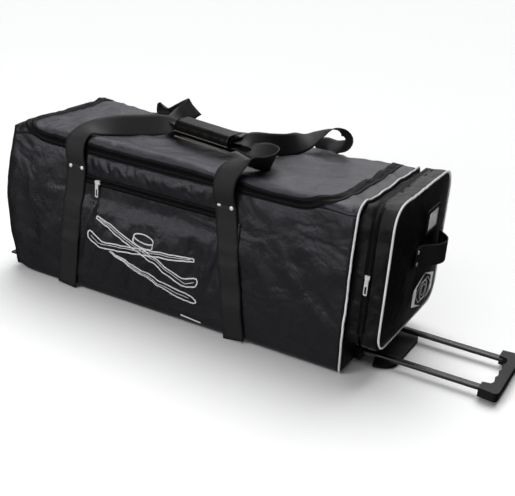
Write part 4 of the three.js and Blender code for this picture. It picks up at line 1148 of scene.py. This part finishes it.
back_route = [
    station(-229, 175.5, 346, 1, 0, 0),
    station(-231, 176.5, 356, 0.97, 0.1, -0.2),
    station(-226, 175, 364, 0.75, 0.45, -0.35),
    station(-204, 171, 363, 0.2, 0.85, -0.3),
    station(-174, 167, 370, 0.35, 0.6, -0.7),
    station(-150, 163, 381, 0.68, 0.2, -0.7),
    station(-138, 159, 387, 0.76, 0.08, -0.65),
    station(-141, 151, 384, 0.76, 0.08, -0.65),
    station(-153, 136, 368, 0.76, 0.08, -0.65),
    station(-148, 112, 365, 0.8, 0.3, -0.5),
    station(-126, 66, 375, 0.72, 0.6, -0.35),
    station(-100, 20, 390, 0.45, 0.85, -0.1),
    in_wrap(-76, 5, -1),
    in_wrap(-60, 5, -1),
    in_wrap(70, 5, -1),
    in_wrap(86, 5, -1),
    station(126, -22, 396, 0.1, 0.86, 0.5, 46),
    station(152, 14, 388, 0.0, 0.6, 0.8, 48),
    station(172, 62, 381, -0.1, 0.6, 0.75),
    station(190, 110, 385, -0.35, 0.85, 0.35),
    station(206, 140, 396, -0.48, 0.87, 0.04),
    station(224, 158, 406, -0.45, 0.85, -0.25),
    station(244, 166, 407, -0.5, 0.78, -0.35),
    station(260, 170, 394, -0.7, 0.62, -0.36),
    station(257, 175, 374, -0.6, 0.78, -0.15),
    station(234, 179, 360, -0.45, 0.82, 0.3),
    station(207, 178, 356, -0.8, 0.4, 0.4),
    station(190, 175.5, 343, -1, 0, 0),
]
for name, route in (("front_handle", front_route), ("back_handle", back_route)):
    line = curve_through(route, 0.004)
    piece(f"{name}_web", band(line, 8), "strap_webbing", name, [name], "webbing", thickness_mm=2.2)
    length = sum((b[0] - a[0]).length for a, b in zip(line, line[1:]))
    print(name, "webbing", round(length, 3), "m")

# %% [markdown]
# ## The padded wrap
# The wrap is a stuffed sleeve. A rounded block is blown up by the cloth simulation: pressure inside, no gravity,
# twenty frames. Each point may move only a few millimetres, so it swells between its ends and keeps its place.

# %% Blow up the sleeve
WRAP_LONG, WRAP_WIDE, WRAP_THICK = 0.160, 0.052, 0.032
SWELL_FRAMES, SWELL_PRESSURE, SWELL_CAP_MM, VOXEL_MM = 20, 4, 5, 4


def wrap_frame(bm):
    turn = Matrix.Translation(WRAP_AT) @ Matrix.Rotation(WRAP_TURN, 4, "Z")
    bmesh.ops.transform(bm, matrix=turn, verts=bm.verts)
    return bm


def blow_up(made, voxel_mm, pressure, cap_mm):
    """Remesh, swell with cloth, and cap how far any point went."""
    remesh = made.modifiers.new("remesh", "REMESH")
    remesh.mode, remesh.voxel_size = "VOXEL", voxel_mm / 1000
    bpy.context.view_layer.objects.active = made
    bpy.ops.object.modifier_apply(modifier=remesh.name)
    rest = [v.co.copy() for v in made.data.vertices]
    cloth = made.modifiers.new("cloth", "CLOTH")
    cloth.settings.use_pressure, cloth.settings.uniform_pressure_force = True, pressure
    cloth.settings.effector_weights.gravity = 0
    scene = bpy.context.scene
    for frame_number in range(1, SWELL_FRAMES + 1):
        scene.frame_set(frame_number)
    swollen = made.evaluated_get(bpy.context.evaluated_depsgraph_get()).to_mesh()
    moves = [b.co - a for a, b in zip(rest, swollen.vertices)]
    made.evaluated_get(bpy.context.evaluated_depsgraph_get()).to_mesh_clear()
    made.modifiers.remove(cloth)
    scene.frame_set(1)
    cap = cap_mm / 1000
    for vert, start, move in zip(made.data.vertices, rest, moves):
        vert.co = start + (move if move.length < cap else move * (cap / move.length))
    furthest = round(max(m.length for m in moves) * 1000, 1)
    print(made.name, "swelled by up to", furthest, "mm, capped at", cap_mm)


half_wrap = Vector((WRAP_LONG, WRAP_WIDE, WRAP_THICK)) / 2
sleeve = box_mesh(-half_wrap, half_wrap)
round_edges(sleeve, 0.012, 5, lambda a, b: abs(a.x - b.x) > 0.1)
round_edges(sleeve, 0.004, 2, lambda a, b: abs(a.x) > 0.08 and abs(a.x - b.x) < 0.001)
slice_every(sleeve, 0, steps(-WRAP_LONG / 2, WRAP_LONG / 2, 0.006))
wrap = piece("wrap_sleeve", wrap_frame(sleeve), "wrap_vinyl", "front_handle", ["handle_wrap"], "nylon")
blow_up(wrap, VOXEL_MM, SWELL_PRESSURE, SWELL_CAP_MM)
smooth_wrap = wrap.modifiers.new("rounds", "SUBSURF")
smooth_wrap.levels = smooth_wrap.render_levels = 1

# %% [markdown]
# The flap is the sleeve's free edge: it comes over the top and closes on the front side. A grey binding shows
# under its edge.

# %% Flap and binding
FLAP_LONG = 0.156


def round_section(grow):
    """Half the sleeve's section from the back of the top, over the front, down to its lower front: (y, z)."""
    half_y, half_z, radius = WRAP_WIDE / 2 + 0.003 + grow, WRAP_THICK / 2 + 0.0045 + grow, 0.015
    path = [(0.012 - 0.004 * i, half_z) for i in range(int((0.012 + half_y - radius) / 0.004))]
    path += [
        (-half_y + radius - radius * math.sin(a), half_z - radius + radius * math.cos(a))
        for a in (math.radians(9 * i) for i in range(11))
    ]
    return path + [(-half_y, half_z - radius - 0.004), (-half_y + 0.0005, half_z - radius - 0.009)]


section = round_section(0.0012)
stations = [(Vector((0, y, z)), Vector((1, 0, 0)), FLAP_LONG) for y, z in section]
flap_bm = band(stations, 30)
for vert in flap_bm.verts:
    edge = climb(-vert.co.y, 0.02, 0.03)
    vert.co.y -= 0.0009 * noise.noise(Vector((vert.co.x * 60, 0, vert.co.z * 40))) * edge
flap_bm = wrap_frame(flap_bm)
flap = piece("wrap_cover", flap_bm, "wrap_vinyl", "wrap_flap", ["wrap_flap"], "nylon", thickness_mm=1.6)
edge_y, edge_z = section[-1]
along_flap = [-FLAP_LONG / 2 + FLAP_LONG * i / 30 for i in range(31)]
hem_line = [Vector((x, edge_y - 0.0008, edge_z + 0.0006)) for x in along_flap]
hem = piece("wrap_cover_hem", wrap_frame(hose(hem_line, 0.0009)), "binding_grey", "wrap_flap", slot="nylon")
binding_line = [
    (Vector((x, edge_y + 0.001, edge_z - 0.0125)), Vector((0, 0.5, 0.8)), 0.0032) for x in along_flap
]
binding_bm = wrap_frame(band(binding_line, 2))
binding = piece("wrap_binding", binding_bm, "binding_grey", "front_handle", slot="nylon", thickness_mm=1.0)
for made in (pieces["front_handle_web"], wrap, flap, hem, binding):
    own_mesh(made)

# %% [markdown]
# ## Emblem on the pocket
# Two crossed sticks, a puck and a long tapering stroke under them are outlined in white satin stitch. The
# outlines are closed and laid on the pocket, and a thinner line runs down the middle of each long shape.

# %% Embroidered outlines
EMBLEM_AT, EMBLEM_LEAN = (-0.045, 0.144), math.radians(-8)


def on_pocket(u, v, proud_mm):
    x = EMBLEM_AT[0] + u * math.cos(EMBLEM_LEAN) - v * math.sin(EMBLEM_LEAN)
    z = EMBLEM_AT[1] + u * math.sin(EMBLEM_LEAN) + v * math.cos(EMBLEM_LEAN)
    share = ((x - LEFT_X) / (RIGHT_X - LEFT_X), (z - POCKET_LOW) / (POCKET_HIGH - POCKET_LOW))
    return on_wall(x, z, 0.6 + pocket_shape(*share) + proud_mm)


def outline_stroke(points, width=0.0030, closed=True, proud_mm=0.9):
    line = [*points, points[0]] if closed else points
    dense = []
    for start, end in zip(line, line[1:]):
        dense += [start, *spread(start, end, 0.004)]
    dense.append(line[-1])
    places = [on_pocket(u, v, proud_mm) for u, v in dense]
    stations = []
    for k, at in enumerate(places):
        before = places[k - 1] if k else (places[-2] if closed else at)
        after = places[k + 1] if k + 1 < len(places) else (places[1] if closed else at)
        stations.append((at, Vector((0, -1, 0)).cross(after - before).normalized(), width))
    return band(stations, 2, 0.0003)


def round_off(points, amount=0.3, times=2):
    """Cut the corners of a closed outline."""
    for _ in range(times):
        points = [
            (a[0] + (b[0] - a[0]) * t, a[1] + (b[1] - a[1]) * t)
            for a, b in zip(points, points[1:] + points[:1]) for t in (amount, 1 - amount)
        ]
    return points


def stick(flip):
    """A stick as an outline: a long shaft and a blade that turns up at its end."""
    start, heel, half = Vector((-0.128, 0.036)), Vector((0.088, -0.018)), 0.0052
    side = (heel - start).normalized()
    side = Vector((-side.y, side.x)) * half
    shape = [
        start + side, heel + side, Vector((0.112, -0.017)), Vector((0.140, -0.002)), Vector((0.148, -0.009)),
        Vector((0.143, -0.024)), Vector((0.116, -0.034)), heel - side * 1.9, start - side,
    ]
    return [(flip * p.x, p.y) for p in shape]


def arc(u, v, long, high, first, last, count=28):
    turns = (math.radians(first + (last - first) * i / count) for i in range(count + 1))
    return [(u + long * math.cos(a), v + high * math.sin(a)) for a in turns]


LONG_STROKE = [
    (-0.098, -0.028), (-0.030, -0.036), (0.050, -0.048), (0.128, -0.047), (0.156, -0.056), (0.140, -0.068),
    (0.060, -0.062), (-0.020, -0.046),
]
MIDDLES = [
    [(-0.120, 0.034), (0.088, -0.018), (0.118, -0.026), (0.138, -0.014)],
    [(0.120, 0.034), (-0.088, -0.018), (-0.118, -0.026), (-0.138, -0.014)],
    [(-0.084, -0.031), (-0.025, -0.041), (0.050, -0.055), (0.132, -0.057)],
]
puck_v, puck_long, puck_high = 0.034, 0.025, 0.010
strokes = [
    outline_stroke(round_off(stick(1), 0.2, 1)),
    outline_stroke(round_off(stick(-1), 0.2, 1), proud_mm=1.3),
    outline_stroke(arc(0, puck_v, puck_long, puck_high, 0, 360)[:-1]),
    outline_stroke(
        [(-puck_long, puck_v), *arc(0, puck_v - 0.012, puck_long, puck_high, 180, 360), (puck_long, puck_v)],
        closed=False,
    ),
    outline_stroke(round_off(LONG_STROKE, 0.25, 2)),
]
strokes += [outline_stroke(line, 0.0014, closed=False, proud_mm=1.1) for line in MIDDLES]
piece("emblem_outline", joined(strokes), "thread_white", "bag", slot="nylon", thickness_mm=0.5)
print("emblem strokes", len(strokes))
bar_places = (on_wall(0.057 + 0.052 * i / 12, 0.021 - 0.004 * i / 12, 2.4) for i in range(13))
bar_line = [(at, Vector((0, 0, 1)), 0.0034) for at in bar_places]
piece("small_bar", band(bar_line, 2), "thread_white", "bag", slot="nylon", thickness_mm=0.5)

# %% [markdown]
# ## Hard parts from the frame
# The trolley handle, the tray, the wheels and the sliders have the right shape in the CAD model. They keep it
# and get their finishes here.

# %% Finishes of the CAD parts
CAD_FINISH = {
    "polished_nickel": (
        "lid_slider", "lid_pull", "front_pocket_slider", "front_pocket_pull",
        "end_pocket_slider", "end_pocket_pull",
    ),
    "moulded_black": (
        "window_frame", "trolley_grip", "trolley_anchor", "handle_tray", "wheel_hub", "wheel_housing",
    ),
    "clear_window": ("id_window",),
    "card_pale": ("id_card",),
    "board_black": ("base_board",),
    "anodised_black": ("trolley_rail",),
    "plain_steel": ("trolley_tube", "wheel_axle"),
    "tyre_rubber": ("wheel_tyre",),
}
for name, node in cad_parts.items():
    for look, starts in CAD_FINISH.items():
        if name.startswith(starts):
            node.data.materials.clear()
            node.data.materials.append(finishes[look])
shown = sorted(n for n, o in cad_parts.items() if not o.hide_render)
bare = [n for n in shown if not n.startswith(sum(CAD_FINISH.values(), ()))]
print("CAD parts shown", len(shown), "without a finish", bare)

# %% [markdown]
# ## The floor
# A plain pale floor, so that only the bag draws the eye. The coating would mirror it and turn the walls flat
# grey, so reflections leave it out and show the sky there.

# %% Floor
floor_bm = bmesh.new()
bmesh.ops.create_grid(floor_bm, x_segments=1, y_segments=1, size=40)
floor_mesh = bpy.data.meshes.new("floor")
floor_bm.to_mesh(floor_mesh)
floor_bm.free()
floor = linked("floor", floor_mesh)
pale = bpy.data.materials.new("pale_floor")
pale.use_nodes = True
matt = pale.node_tree.nodes["Principled BSDF"].inputs
matt["Base Color"].default_value, matt["Roughness"].default_value = (0.93, 0.93, 0.93, 1), 0.9
floor_mesh.materials.append(pale)
floor.visible_glossy = False
